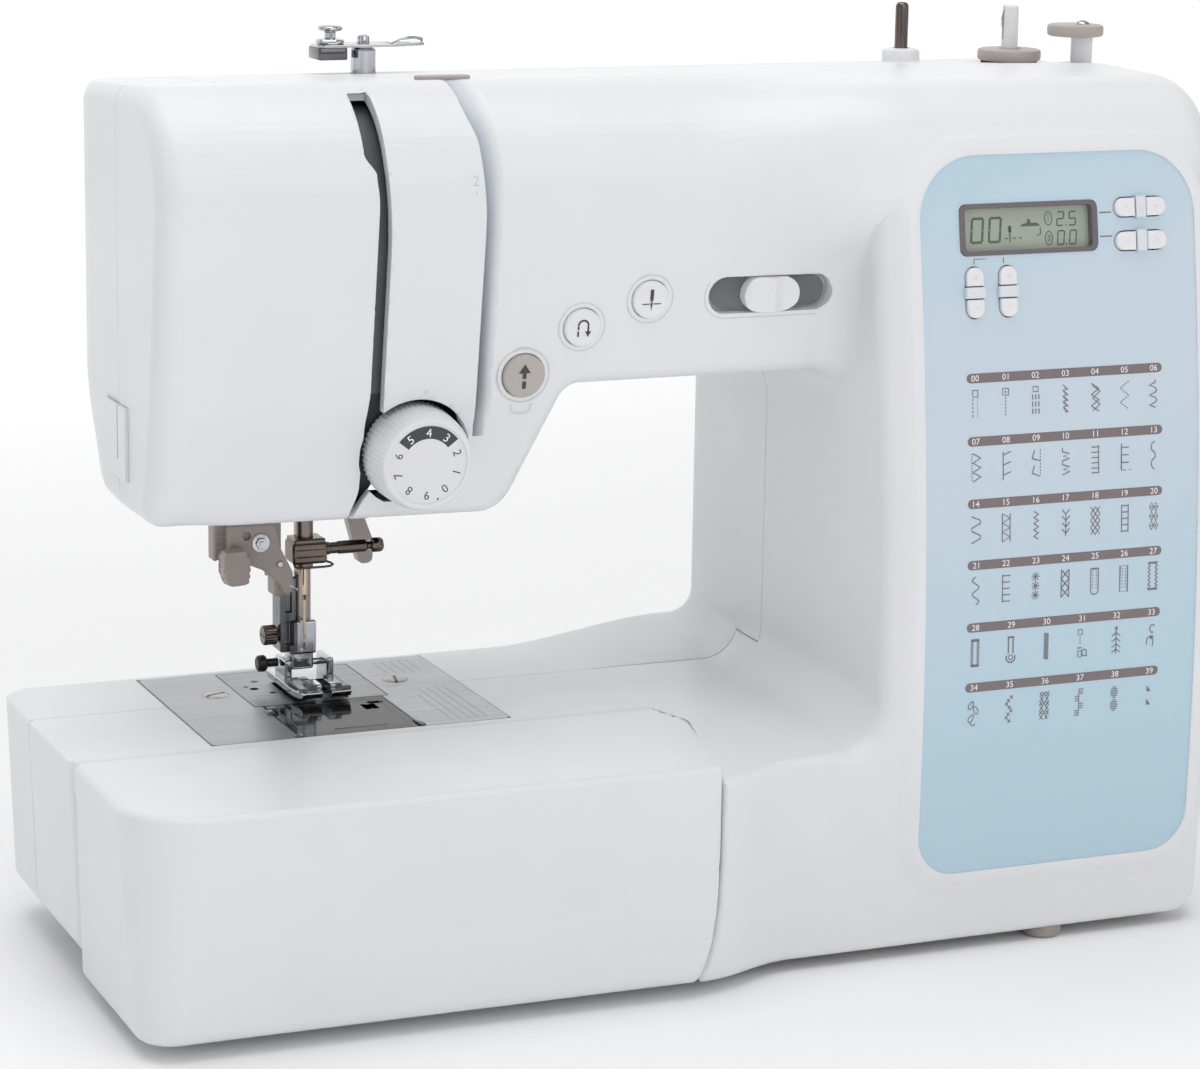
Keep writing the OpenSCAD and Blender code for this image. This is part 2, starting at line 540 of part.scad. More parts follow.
module lifter_lever() place() color("rosybrown") difference() {
  union() {
    cyly(37, 42.5, 12, 90, 6.5);
    ey(37.5, 42) polygon(rpoly([[6.5,90,0], [15,95,1], [22,84,4], [27,60,8], [32,47,3], [32,38.5,2], [27,38,2], [21,60,8]], 3));
  }
  cyly(30, 50, 12, 90, 3+run);
}
module thread_cutter() place() color("white") difference() {
  bx(-head_left-1.2, -head_left+2.6, -38, -14, 90, 114);
  bx(-head_left-2, -head_left+0.4, -30, -28.4, 96, 115);
}

// ---------- hook drive ----------
function gear(n, r0, r1) = [for (i=[0:n-1]) each [for (k=[[0,r0], [0.22,r0], [0.36,r1], [0.64,r1], [0.78,r0]])
    k[1]*[cos(360*(i+k[0])/n), sin(360*(i+k[0])/n)]]];
module lower_shaft() place() color("silver") {
  cylx(-12, 194, needle_y, -40, shaft_r);
  cylx(182, 192, needle_y, -40, 14);
  for (x=[181, 192]) cylx(x, x+1, needle_y, -40, 17);
  cylx(44, 56, needle_y+1.5, -40, 9);
  ex(-7, 7) translate([needle_y,-40]) polygon(gear(28, 11.9, 13.5));
}
module rotary_hook() place() color("silver") translate([0,-hook_y,0]) difference() {
  union() {
    translate([0,0,-62.5]) cylinder(h=40, r=shaft_r);
    translate([0,0,-47]) linear_extrude(14) polygon(gear(14, 5.2, 6.6));
    translate([0,0,-24]) cylinder(h=14.8, r=hook_r);
  }
  translate([0,0,-21.8]) cylinder(h=20, r=hook_r-1.6);
  translate([hook_r-4,-2,-14]) cube([8,10,2.4]);
}
module bobbin() place() color([0.85,0.88,0.9,0.5]) translate([0,-hook_y,-18.5]) rotate_extrude()
  polygon([[3,0], [bobbin_r,0], [bobbin_r,1.1], [5.5,1.1], [5.5,bobbin_h-1.1], [bobbin_r,bobbin_h-1.1], [bobbin_r,bobbin_h], [3,bobbin_h]]);
module feed_bar() place() color("darkgray") difference() {
  union() {
    for (s=[-1,1]) bx(s*14-4, s*14+4, 14, 24, -20, -12);
    bx(-18, 18, 15.5, 22.5, -22, -18);
    for (s=[-1,1]) cylz(-19, -5.4, s*5, 19, 1.5);
  }
  for (s=[-1,1]) cyly(10, 30, s*14, -16, 2+run);
}
module feed_dog() place() color("silver") difference() {
  union() {
    bx(-12, 12, 12.9, 26, -7.4, -4.6);
    for (s=[-1,1]) cylz(-11, -5, s*5, 19, 3);
    for (b=[[-9.4,-6,2], [6,9.4,2], [-2.2,2.2,13.5]]) ex(b[0], b[1])
      polygon(concat([[24,-4.9], [b[2],-4.9]], [for (y=[b[2]:1.6:23]) each [[y,-1.1], [y+1.2,-0.35]]], [[24,-1.1]]));
  }
  for (s=[-1,1]) cylz(-12, -3, s*5, 19, 1.5+run);
}

// ---------- top of the machine ----------
module top_thread_guide() place() color("silver") translate([23.6,25,0]) {
  translate([0,0,209]) cylinder(h=15, r=4.4);
  translate([0,0,224]) linear_extrude(1) polygon(rpoly([[-18,-6,3], [10,-6,3], [22,-2,1.5], [22,2,1.5], [10,6,3], [-18,6,3]]));
  translate([0,0,225]) cylinder(h=3, r=2.2);
  translate([-12,0,225]) { cylinder(h=1.2, r=5); translate([0,0,1.2]) cylinder(h=2.6, r=2); translate([0,0,3.8]) cylinder(h=2.6, r=4.4); }
}
module spool_pin() place() color("silver") translate([spool_p.x,spool_p.y,0]) {
  translate([0,0,150]) cylinder(h=68.7, r=2.2);
  translate([0,0,218.6]) cylinder(h=16.4, r=2.4);
  translate([0,0,235]) cylinder(h=1.2, r1=2.4, r2=1.3);
}
module winder_arm() place() color("gainsboro") difference() {
  bx(winder_p.x-14, winder_p.x+10, winder_p.y-9, winder_p.y+9, 191.4, 200);
  cylz(190, 205, winder_p.x, winder_p.y, 3+run);
}
module winder_shaft() place() color("white") translate([winder_p.x,winder_p.y,0]) {
  translate([0,0,191.5]) cylinder(h=29, r=3);
  translate([0,0,220]) cylinder(h=1.4, r=2.8);
  translate([0,0,221.3]) cylinder(h=14.2, r=3);
  translate([0,0,235.5]) cylinder(h=1, r1=3, r2=2.2);
  translate([0,0,201]) cylinder(h=2, r=5.5);
  translate([0,0,214.8]) cylinder(h=2, r=4.2);
  translate([0,0,216.6]) rotate_extrude() polygon([[0,0], [10.6,0], [11.5,0.8], [11.5,3.7], [11.1,4.2], [0,4.2]]);
}
module winder_stopper() place() color("rosybrown") translate([stopper_p.x,stopper_p.y,0]) difference() {
  union() {
    translate([0,0,208]) cylinder(h=18.9, r=3.9);
    translate([-2.9,0,226.8]) rotate_extrude() polygon([[0,0], [9.4,0], [10.1,0.7], [10.1,3.6], [9.7,4.1], [0,4.1]]);
    translate([0,0,230.8]) cylinder(h=1.5, r=2.7);
  }
  translate([-4,-0.4,231.5]) cube([8,0.8,2]);
}
module tension_discs() place() color("silver") {
  for (x=[27, 30.2]) translate([x,-52,150]) rotate([0,90,0]) difference() { cylinder(h=0.8, r=11); translate([0,0,-1]) cylinder(h=3, r=3); }
  cylx(24, 46, -52, 150, 3);
  cylx(31.4, 42, -52, 150, 6);
  bx(43, 46, -60, -50, 140, 160);
}
module power_inlet() place() color("dimgray") difference() {
  bx(body_right-18, body_right-0.2, 9, 35, -60, -32);
  bx(body_right-14, body_right+2, 12, 32, -46.5, -35.5);
  cylx(body_right-12, body_right+2, 22, -54, 3);
}
// rocker on a pivot 3.5 mm behind the side face
module power_switch() place() color("dimgray") {
  ey(15, 29) translate([body_right-3.5,-15]) polygon([[-1,-9], [3.2,-9.2], [3.8,0], [5.2,9.2], [-1,9]]);
  cyly(15, 29, body_right-3.5, -15, 3);
}

// ---------- flat-bed attachment ----------
module box_plan(t, back=0) polygon(rpoly([[-102+t,-50.2+back,0], [-102+t,-box_front+t,box_corner-t],
  [96.5-t,-box_front-2.1+t,4], [108.8-t,-68,4], [104.3-t,-53,0], [104.3-t,-50.2+back,0]], 8));
module accessory_box() place() color("white") difference() {
  ez(-75, -0.1) box_plan(0);
  ez(-75+box_wall, -0.1-box_wall) box_plan(box_wall, 5);
}

front_shell();
rear_shell();
face_cover();
base_plate();
rubber_feet();
control_panel();
lcd_window();
main_board();
needle_plate();
stitch_plate();
plate_screws();
bobbin_cover();
bobbin_case();
cast_frame();
drive_belts();
drive_motor();
top_thread_guide();
winder_stopper();
tension_discs();
thread_cutter();
power_inlet();
main_shaft();
handwheel();
connecting_link();
needle_bar_frame();
needle_bar();
needle_clamp();
clamp_screw();
needle();
needle_threader();
takeup_lever();
presser_bar();
foot_holder();
holder_screw();
presser_foot();
lifter_lever();
lower_shaft();
rotary_hook();
bobbin();
feed_bar();
feed_dog();
start_button();
reverse_button();
needle_button();
speed_slider();
tension_dial();
spool_pin();
winder_arm();
winder_shaft();
accessory_box();
motor_pulley();
length_minus();
length_plus();
width_minus();
width_plus();
tens_plus();
tens_minus();
units_plus();
units_minus();
power_switch();
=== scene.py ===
import bpy, math
import numpy as np
from mathutils import Vector, Matrix


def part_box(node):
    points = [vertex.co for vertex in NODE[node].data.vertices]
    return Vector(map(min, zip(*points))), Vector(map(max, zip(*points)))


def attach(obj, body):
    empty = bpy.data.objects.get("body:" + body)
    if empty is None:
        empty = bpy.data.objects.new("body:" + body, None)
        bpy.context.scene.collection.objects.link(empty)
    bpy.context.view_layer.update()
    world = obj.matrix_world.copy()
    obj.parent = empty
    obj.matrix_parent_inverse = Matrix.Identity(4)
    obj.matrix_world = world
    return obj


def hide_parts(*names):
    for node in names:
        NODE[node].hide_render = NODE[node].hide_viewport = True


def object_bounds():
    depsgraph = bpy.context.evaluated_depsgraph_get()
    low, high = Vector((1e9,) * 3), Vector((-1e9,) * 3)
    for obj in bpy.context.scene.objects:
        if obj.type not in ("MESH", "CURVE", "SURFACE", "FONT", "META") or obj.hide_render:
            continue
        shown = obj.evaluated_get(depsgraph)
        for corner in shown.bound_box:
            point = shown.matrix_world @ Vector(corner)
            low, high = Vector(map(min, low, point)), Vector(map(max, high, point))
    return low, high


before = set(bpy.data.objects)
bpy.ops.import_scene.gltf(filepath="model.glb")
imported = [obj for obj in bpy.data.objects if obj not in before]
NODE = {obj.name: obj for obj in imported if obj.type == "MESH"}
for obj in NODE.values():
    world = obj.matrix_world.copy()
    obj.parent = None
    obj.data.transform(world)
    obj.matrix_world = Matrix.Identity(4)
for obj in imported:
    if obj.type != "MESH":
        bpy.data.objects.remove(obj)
CAD_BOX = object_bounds()

# the needle plate carries the machine's own coordinates: its centre on the bed
_lo, _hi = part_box("needle_plate")
O = np.array([(_lo.x + _hi.x) / 2, (_lo.y + _hi.y) / 2 - 0.0005, _hi.z])


def W(p):
    """plate millimetres to row metres"""
    return np.asarray(p, float) * 0.001 + O


# ------------------------------------------------------------------ outlines
def rpoly(P, n=16):
    """closed outline from (x, y, radius) corners"""
    out = []
    k = len(P)
    for i in range(k):
        a, b, c = (np.array(P[(i + d) % k][:2], float) for d in (-1, 0, 1))
        r = P[i][2]
        if r <= 0.05:
            out.append(b)
            continue
        u, v = (a - b) / np.linalg.norm(a - b), (c - b) / np.linalg.norm(c - b)
        g = math.acos(max(-1, min(1, float(u @ v))))
        if g > math.pi - 1e-3:
            out.append(b)
            continue
        m = (u + v) / np.linalg.norm(u + v)
        o = b + m * (r / math.sin(g / 2))
        p, q = b + u * (r / math.tan(g / 2)), b + v * (r / math.tan(g / 2))
        t0 = math.atan2(p[1] - o[1], p[0] - o[0])
        t1 = math.atan2(q[1] - o[1], q[0] - o[0])
        d = (t1 - t0 + 3 * math.pi) % (2 * math.pi) - math.pi
        for j in range(n + 1):
            t = t0 + d * j / n
            out.append(o + r * np.array([math.cos(t), math.sin(t)]))
    return np.array(out)


def pill(l, w, n=10):
    t = np.linspace(0, math.pi, n + 1)
    a = np.c_[l / 2 - w / 2 + w / 2 * np.sin(t), -w / 2 * np.cos(t)]
    return np.vstack([a, -a])


def sd_poly(P, x, y):
    """signed distance to a closed outline, negative inside"""
    d2 = np.full(np.shape(x), 1e12)
    inside = np.zeros(np.shape(x), bool)
    k = len(P)
    for i in range(k):
        ax, ay = P[i]
        bx, by = P[(i + 1) % k]
        ex, ey = bx - ax, by - ay
        L = ex * ex + ey * ey
        if L < 1e-12:
            continue
        t = np.clip(((x - ax) * ex + (y - ay) * ey) / L, 0, 1)
        dx, dy = x - ax - t * ex, y - ay - t * ey
        d2 = np.minimum(d2, dx * dx + dy * dy)
        if ay != by:
            c = ((ay > y) != (by > y)) & (x < ex * (y - ay) / ey + ax)
            inside ^= c
    d = np.sqrt(d2)
    return np.where(inside, -d, d)


class Table:
    """a flat signed distance field, read by interpolation"""

    def __init__(self, P, x0, x1, y0, y1, h=0.5):
        self.x0, self.y0, self.h = x0, y0, h
        xs = np.arange(x0, x1 + h, h)
        ys = np.arange(y0, y1 + h, h)
        X, Y = np.meshgrid(xs, ys, indexing="ij")
        self.v = sd_poly(P, X, Y)
        self.n = self.v.shape

    def __call__(self, x, y):
        u = np.clip((x - self.x0) / self.h, 0, self.n[0] - 1.001)
        v = np.clip((y - self.y0) / self.h, 0, self.n[1] - 1.001)
        i, j = u.astype(np.int32), v.astype(np.int32)
        a, b = u - i, v - j
        V = self.v
        return (V[i, j] * (1 - a) + V[i + 1, j] * a) * (1 - b) + (V[i, j + 1] * (1 - a) + V[i + 1, j + 1] * a) * b


def rmax(a, b, r):
    """intersection with its edge rounded to radius r"""
    u, v = np.maximum(a + r, 0), np.maximum(b + r, 0)
    return np.minimum(np.maximum(a, b), -r) + np.sqrt(u * u + v * v)


def rmin(a, b, r):
    """union with its corner filled to radius r"""
    return -rmax(-a, -b, r)


def sstep(a, b, x):
    t = np.clip((x - a) / (b - a), 0, 1)
    return t * t * (3 - 2 * t)


def bxf(x, y, z, x0, x1, y0, y1, z0, z1):
    return np.maximum(np.maximum(np.maximum(x0 - x, x - x1), np.maximum(y0 - y, y - y1)), np.maximum(z0 - z, z - z1))


# ------------------------------------------------------------------ machine form
BULGE, RIGHT, LEFT, HEADZ, TOP, REAR, THX = 10.0, 297.0, -79.0, 76.4, 218.0, 50.0, 163.0


def front_y(z):
    return -110.3 + 0.0702 * (z + 75) - BULGE * (1 - ((z - 68.5) / 143.5) ** 2)


def front_lean(z):
    return math.atan(0.0702 + 2 * BULGE * (z - 68.5) / 143.5 ** 2)


def arm_y(z):
    return -69.3 - 0.1415 * (z - 115)


class Plane:
    """a flat frame on the machine: origin, right, up and outward axes"""

    def __init__(self, o, tilt):
        a = math.radians(tilt)
        self.o = np.array(o, float)
        self.u = np.array([1.0, 0, 0])
        self.v = np.array([0, math.cos(a), math.sin(a)])
        self.n = np.array([0, -math.sin(a), math.cos(a)])

    def local(self, x, y, z):
        X, Y, Z = x - self.o[0], y - self.o[1], z - self.o[2]
        return X, Y * self.v[1] + Z * self.v[2], Y * self.n[1] + Z * self.n[2]

    def at(self, a, b, c=0.0):
        return self.o + a * self.u + b * self.v + c * self.n


def on_panel(x, z):
    return Plane((x, front_y(z), z), 90 - math.degrees(front_lean(z)))


def on_arm(x, z):
    return Plane((x, arm_y(z), z), 98.05)


DIAL = Plane((9.8, -79, 97.8), 95)
START, REVERSE, NEEDLEB, SLIDER, LCD = (45.8, 124.0), (65.6, 139.4), (89.5, 147.8), (133.6, 147.7), (217.65, 169.8)
KEYS = [(260.9, 175.35, 0), (260.9, 164.05, 0), (195.95, 149.1, 90), (208.65, 149.1, 90)]
SPOOL, WINDER, STOP = (232, 25), (263.2, 0), (281.6, -20)

_zc = np.arange(-76, 201, 12.0)
T_C = Table(rpoly([(LEFT, HEADZ + 1.2, 7), (43.6, HEADZ - 0.5, 12), (62.3, 119.5, 8), (230, 119.8, 0), (420, 119.8, 0), (420, 300, 0), (LEFT, 300, 0)]), -110, 305, -82, 225)
T_ARM = Table(rpoly([(-60.5, 60, 0), (-60.5, HEADZ + 4, 3), (-69.3, 115, 30), (-78.5, 179, 0), (-78.5, TOP, 36), (-35, TOP + 0.3, 0), (REAR + 30, TOP - 6.0, 0), (REAR + 30, 60, 0)]), -128, 56, 60, 225)
T_COL = Table(rpoly([(front_y(z), z, 0) for z in np.arange(-112, 201, 12.0)] + [(front_y(200) + 3.4, TOP - 0.8, 26), (-35, TOP + 0.3, 0), (REAR + 30, TOP - 6.0, 0), (REAR + 30, -112, 0)]), -128, 56, -82, 225)
T_TOPB = Table(rpoly([(-160, -9.3, 0), (-99, -3, 6), (-70, 0, 20), (REAR + 30, 0, 0), (REAR + 30, -120, 0), (-160, -120, 0)]), -128, 56, -82, 60)
T_BACK = Table(rpoly([(-300, 234.2, 0), (REAR, TOP - 4.8, 14), (REAR, -120, 0), (-300, -120, 0)]), -128, 56, -82, 225)
T_PLAN = Table(np.array([(109.4 + 0.217 * (68 - 168), -168), (109.4, -68), (104.8, -52), (104.8, -47), (60, -47), (60, REAR + 40), (400, REAR + 40), (400, -168)]), -110, 305, -128, 56)
T_FREE = Table(rpoly([(-102.5, -49.5, 5), (170, -49.5, 0), (170, REAR, 0), (-102.5, REAR, 14)]), -110, 305, -128, 56)
T_PANEL = Table(rpoly([(176, -51, 15), (282.7, -51, 15), (282.7, 194.6, 22), (176, 194.6, 22)], 10), 150, 305, -78, 222)


def seam_bend(z):
    """the joint beside the flat-bed box runs to the left near the table"""
    t = np.clip((-30 - z) / 45, 0, 1)
    return 1.6 * t + 6.5 * t ** 4


def form(x, y, z):
    """the closed outer form of the machine"""
    # arm and head, rounded round the rear left corner
    r = 4.5 + 4.0 * sstep(-48, -66, x) + 7.0 * sstep(-45, -72, x) * sstep(-58, -20, y) * sstep(125, 100, z)
    end = np.maximum(T_C(x, z), rmax(LEFT - x, y - REAR, 44.0 + 20.0 * sstep(122, 76, z)))
    lift = 1.75 * np.clip((170 - x) / 225, 0, 1) * sstep(110, 190, z)
    prof = T_ARM(y, z - lift)
    # above the controls the arm's front flows into the column's
    s = sstep(104, 174, x) * sstep(150, 182, z)
    prof = prof + s * (T_COL(y, z) - prof)
    arm = rmax(np.maximum(prof, x - (THX + 25)), end, r)
    # the underside of the head lifts towards its rear left corner
    arm = rmax(arm, (HEADZ + 0.29 * (y + 20) - 0.35 * (x + 79) - z) / 1.0985, 4.0)
    # column flank running into the top of the base, then trimmed by the bowed front
    ramp = 8.2 * sstep(80, 152, x) * np.clip((y - 6) / 44, 0, 1)
    base = rmax(T_TOPB(y, z - ramp), T_PLAN(x + seam_bend(z), y), 1.0)
    low = np.where(z < 60, rmin(THX - x, base, 16.0 - 6.5 * sstep(-10, 30, y)), THX - x)
    r = (3.0 + 4.0 * sstep(-60, -20, z) + 3.0 * sstep(0, 40, z)) * sstep(140, 160, x) * 0.7 + 3.0
    # the front swells forward to meet the box
    swell = 12.2 * (1 - sstep(95, 131, x)) * sstep(40, -10, z)
    col = rmax(low, T_COL(y + swell, z), r)
    r = 0.1 + (12.0 + 7.0 * sstep(-62, -20, y)) * np.maximum(sstep(173, 148, z), sstep(-50, -30, y) * sstep(205, 185, z))
    body = rmin(arm, col, r)
    body = rmax(body, y - REAR, 3.0)
    body = np.maximum(body, T_BACK(y, z))
    body = rmax(body, -76 - z, 2.5 + 2.3 * sstep(135, 100, x))
    body = rmax(body, x - RIGHT, 17.0)
    free = rmax(rmax(T_FREE(x - 0.035 * np.maximum(-z, 0) * sstep(0, -60, x), y), -67.5 - z, 6.0), z, 1.6)
    return np.minimum(body, np.where(x < 150, free, 1e3))


# ------------------------------------------------------------------ surfaces from fields
def contour(F, lo, hi, h, grow=1.35):
    """closed mesh of F < 0 with its sharp edges kept: vertices and quads"""
    lo = np.array(lo, float)
    nb = np.ceil((np.array(hi, float) - lo) / (4 * h)).astype(int)
    n = nb * 4 + 1
    cx, cy, cz = (lo[i] + (np.arange(nb[i]) + 0.5) * 4 * h for i in range(3))
    X, Y, Z = np.meshgrid(cx, cy, cz, indexing="ij")
    Fc = F(X.ravel(), Y.ravel(), Z.ravel()).reshape(X.shape)
    act = np.argwhere(np.abs(Fc) < 3.4642 * h * grow)
    # grid points of the active blocks
    need = np.zeros(n, bool)
    o = np.arange(5)
    I = (act[:, 0, None] * 4 + o)[:, :, None, None]
    J = (act[:, 1, None] * 4 + o)[:, None, :, None]
    K = (act[:, 2, None] * 4 + o)[:, None, None, :]
    need[I, J, K] = True
    idx = np.flatnonzero(need)
    ii, jj, kk = np.unravel_index(idx, n)
    V = np.full(n, np.nan, np.float32)
    V.ravel()[idx] = F(lo[0] + ii * h, lo[1] + jj * h, lo[2] + kk * h)
    pts, nrm, edge_cells, flips = [], [], [], []
    strides = (n[1] * n[2], n[2], 1)
    for ax in range(3):
        a = [slice(None)] * 3
        b = [slice(None)] * 3
        a[ax] = slice(0, -1)
        b[ax] = slice(1, None)
        va, vb = V[tuple(a)], V[tuple(b)]
        with np.errstate(invalid="ignore"):
            hit = ((va < 0) != (vb < 0)) & ~np.isnan(va) & ~np.isnan(vb)
        i, j, k = np.nonzero(hit)
        p0 = np.c_[lo[0] + i * h, lo[1] + j * h, lo[2] + k * h]
        f0, f1 = va[i, j, k].astype(float), vb[i, j, k].astype(float)
        t0, t1 = np.zeros(len(i)), np.ones(len(i))
        d = np.zeros(3)
        d[ax] = h
        g0, g1 = f0.copy(), f1.copy()
        for it in range(4):
            t = t0 + (t1 - t0) * np.clip(g0 / (g0 - g1), 0.08, 0.92) if it < 3 else t0 + (t1 - t0) * np.clip(g0 / (g0 - g1), 0, 1)
            if it == 3:
                break
            q = p0 + t[:, None] * d
            g = F(q[:, 0], q[:, 1], q[:, 2])
            low = (g < 0) == (f0 < 0)
            t0, g0 = np.where(low, t, t0), np.where(low, g, g0)
            t1, g1 = np.where(low, t1, t), np.where(low, g1, g)
        q = p0 + t[:, None] * d
        pts.append(q)
        nrm.append(gradient(F, q))
        oth = [c for c in range(3) if c != ax]
        base = i * strides[0] + j * strides[1] + k * strides[2]
        s1, s2 = strides[oth[0]], strides[oth[1]]
        edge_cells.append(np.c_[base, base - s1, base - s1 - s2, base - s2])
        flips.append(((f0 < 0) if ax != 1 else (f0 >= 0)))
    P, N, E, FL = np.vstack(pts), np.vstack(nrm), np.vstack(edge_cells), np.concatenate(flips)
    ids, inv = np.unique(E.ravel(), return_inverse=True)
    inv = inv.reshape(E.shape)
    m = len(ids)
    cnt = np.zeros(m)
    mass = np.zeros((m, 3))
    for c in range(4):
        cnt += np.bincount(inv[:, c], minlength=m)
        for a in range(3):
            mass[:, a] += np.bincount(inv[:, c], weights=P[:, a], minlength=m)
    mass /= cnt[:, None]
    AtA = np.zeros((m, 3, 3))
    Atb = np.zeros((m, 3))
    ns = np.zeros((m, 3))
    for c in range(4):
        v = inv[:, c]
        b = ((P - mass[v]) * N).sum(1)
        for a in range(3):
            Atb[:, a] += np.bincount(v, weights=N[:, a] * b, minlength=m)
            ns[:, a] += np.bincount(v, weights=N[:, a], minlength=m)
            for e in range(a, 3):
                w = np.bincount(v, weights=N[:, a] * N[:, e], minlength=m)
                AtA[:, a, e] += w
                if e != a:
                    AtA[:, e, a] += w
    lam = 0.03 * cnt
    AtA[:, [0, 1, 2], [0, 1, 2]] += lam[:, None]
    D = np.linalg.solve(AtA, Atb[:, :, None])[:, :, 0]
    X = mass + D
    ci, cj, ck = np.unravel_index(ids, n)
    c0 = lo + np.c_[ci, cj, ck] * h
    X = np.clip(X, c0 - 0.25 * h, c0 + 1.25 * h)
    flat = np.linalg.norm(ns, axis=1) / cnt > 0.975
    sel = np.flatnonzero(flat)
    if len(sel):
        X[sel] = mass[sel]
        for _ in range(2):
            f = F(X[sel, 0], X[sel, 1], X[sel, 2])
            g = gradient(F, X[sel])
            X[sel] -= np.clip(f, -0.5 * h, 0.5 * h)[:, None] * g
    quads = inv.copy()
    quads[~FL] = quads[~FL][:, ::-1]
    return X, quads


_TET = np.array([[1, 1, 1], [1, -1, -1], [-1, 1, -1], [-1, -1, 1]], float)


def gradient(F, p, e=0.04):
    g = np.zeros_like(p)
    for t in _TET:
        f = F(p[:, 0] + e * t[0], p[:, 1] + e * t[1], p[:, 2] + e * t[2])
        g += f[:, None] * t
    return g / np.maximum(np.linalg.norm(g, axis=1), 1e-9)[:, None]


def cylf(a, b, r):
    return np.sqrt(a * a + b * b) - r


def pillf(a, b, l, w):
    d = np.maximum(np.abs(a) - (l - w) / 2, 0)
    return np.sqrt(d * d + b * b) - w / 2


def near(x, y, z, c, r):
    return (np.abs(x - c[0]) < r[0]) & (np.abs(y - c[1]) < r[1]) & (np.abs(z - c[2]) < r[2])


def local(F, m, f):
    """F where the mask is off, f(F, x, y, z) where it is on"""
    out = F.copy()
    if m.any():
        out[m] = f(F[m])
    return out


def slot_left(z):
    """left side of the thread slot, which widens near the top"""
    return -7.0 - 0.6 * sstep(184, 192, z) - 3.6 * sstep(192, 199, z) - 1.3 * sstep(122, 108, z) - 2.9 * sstep(88, 76, z)


def slot_right(z):
    return -2.3 - 1.6 * sstep(165, 200, z) - 7.0 * sstep(93, 76, z)


def strip_right(z):
    """right edge of the cover strip"""
    return 29.9 - 1.4 * sstep(170, 203, z) - 2.4 * sstep(200, 213, z)


def skin(x, y, z):
    """outer surface with its shallow details"""
    F = form(x, y, z)
    # soft raised rim round the control panel
    m = (y < -80) & (x > 158)
    if m.any():
        xs, ys, zs = x[m], y[m], z[m]
        d = T_PANEL(xs, zs)
        up = 1.25 * sstep(9.0, 3.6, d)
        f = F[m] - up
        fy = front_y(zs)
        F[m] = np.maximum(f, -np.maximum(d - 0.2, ys - fy))
    # tapering groove to the right of the cover strip
    m = (x > 20) & (x < 46) & (y < 10) & (z > 84)
    if m.any():
        xs, ys, zs, f = x[m], y[m], z[m], F[m]
        sr = strip_right(zs)
        w = 35.0 - sr
        k = 4.3 * sstep(-40, -60, ys) * sstep(102, 120, zs) + 0.02
        g = np.maximum(sr - xs, (-f - k * (35.0 - xs) / w) / np.sqrt(1 + (k / w) ** 2))
        g = np.maximum(g, np.maximum(ys + 38.5, 106 - zs))
        F[m] = np.maximum(f, -g)
    return F


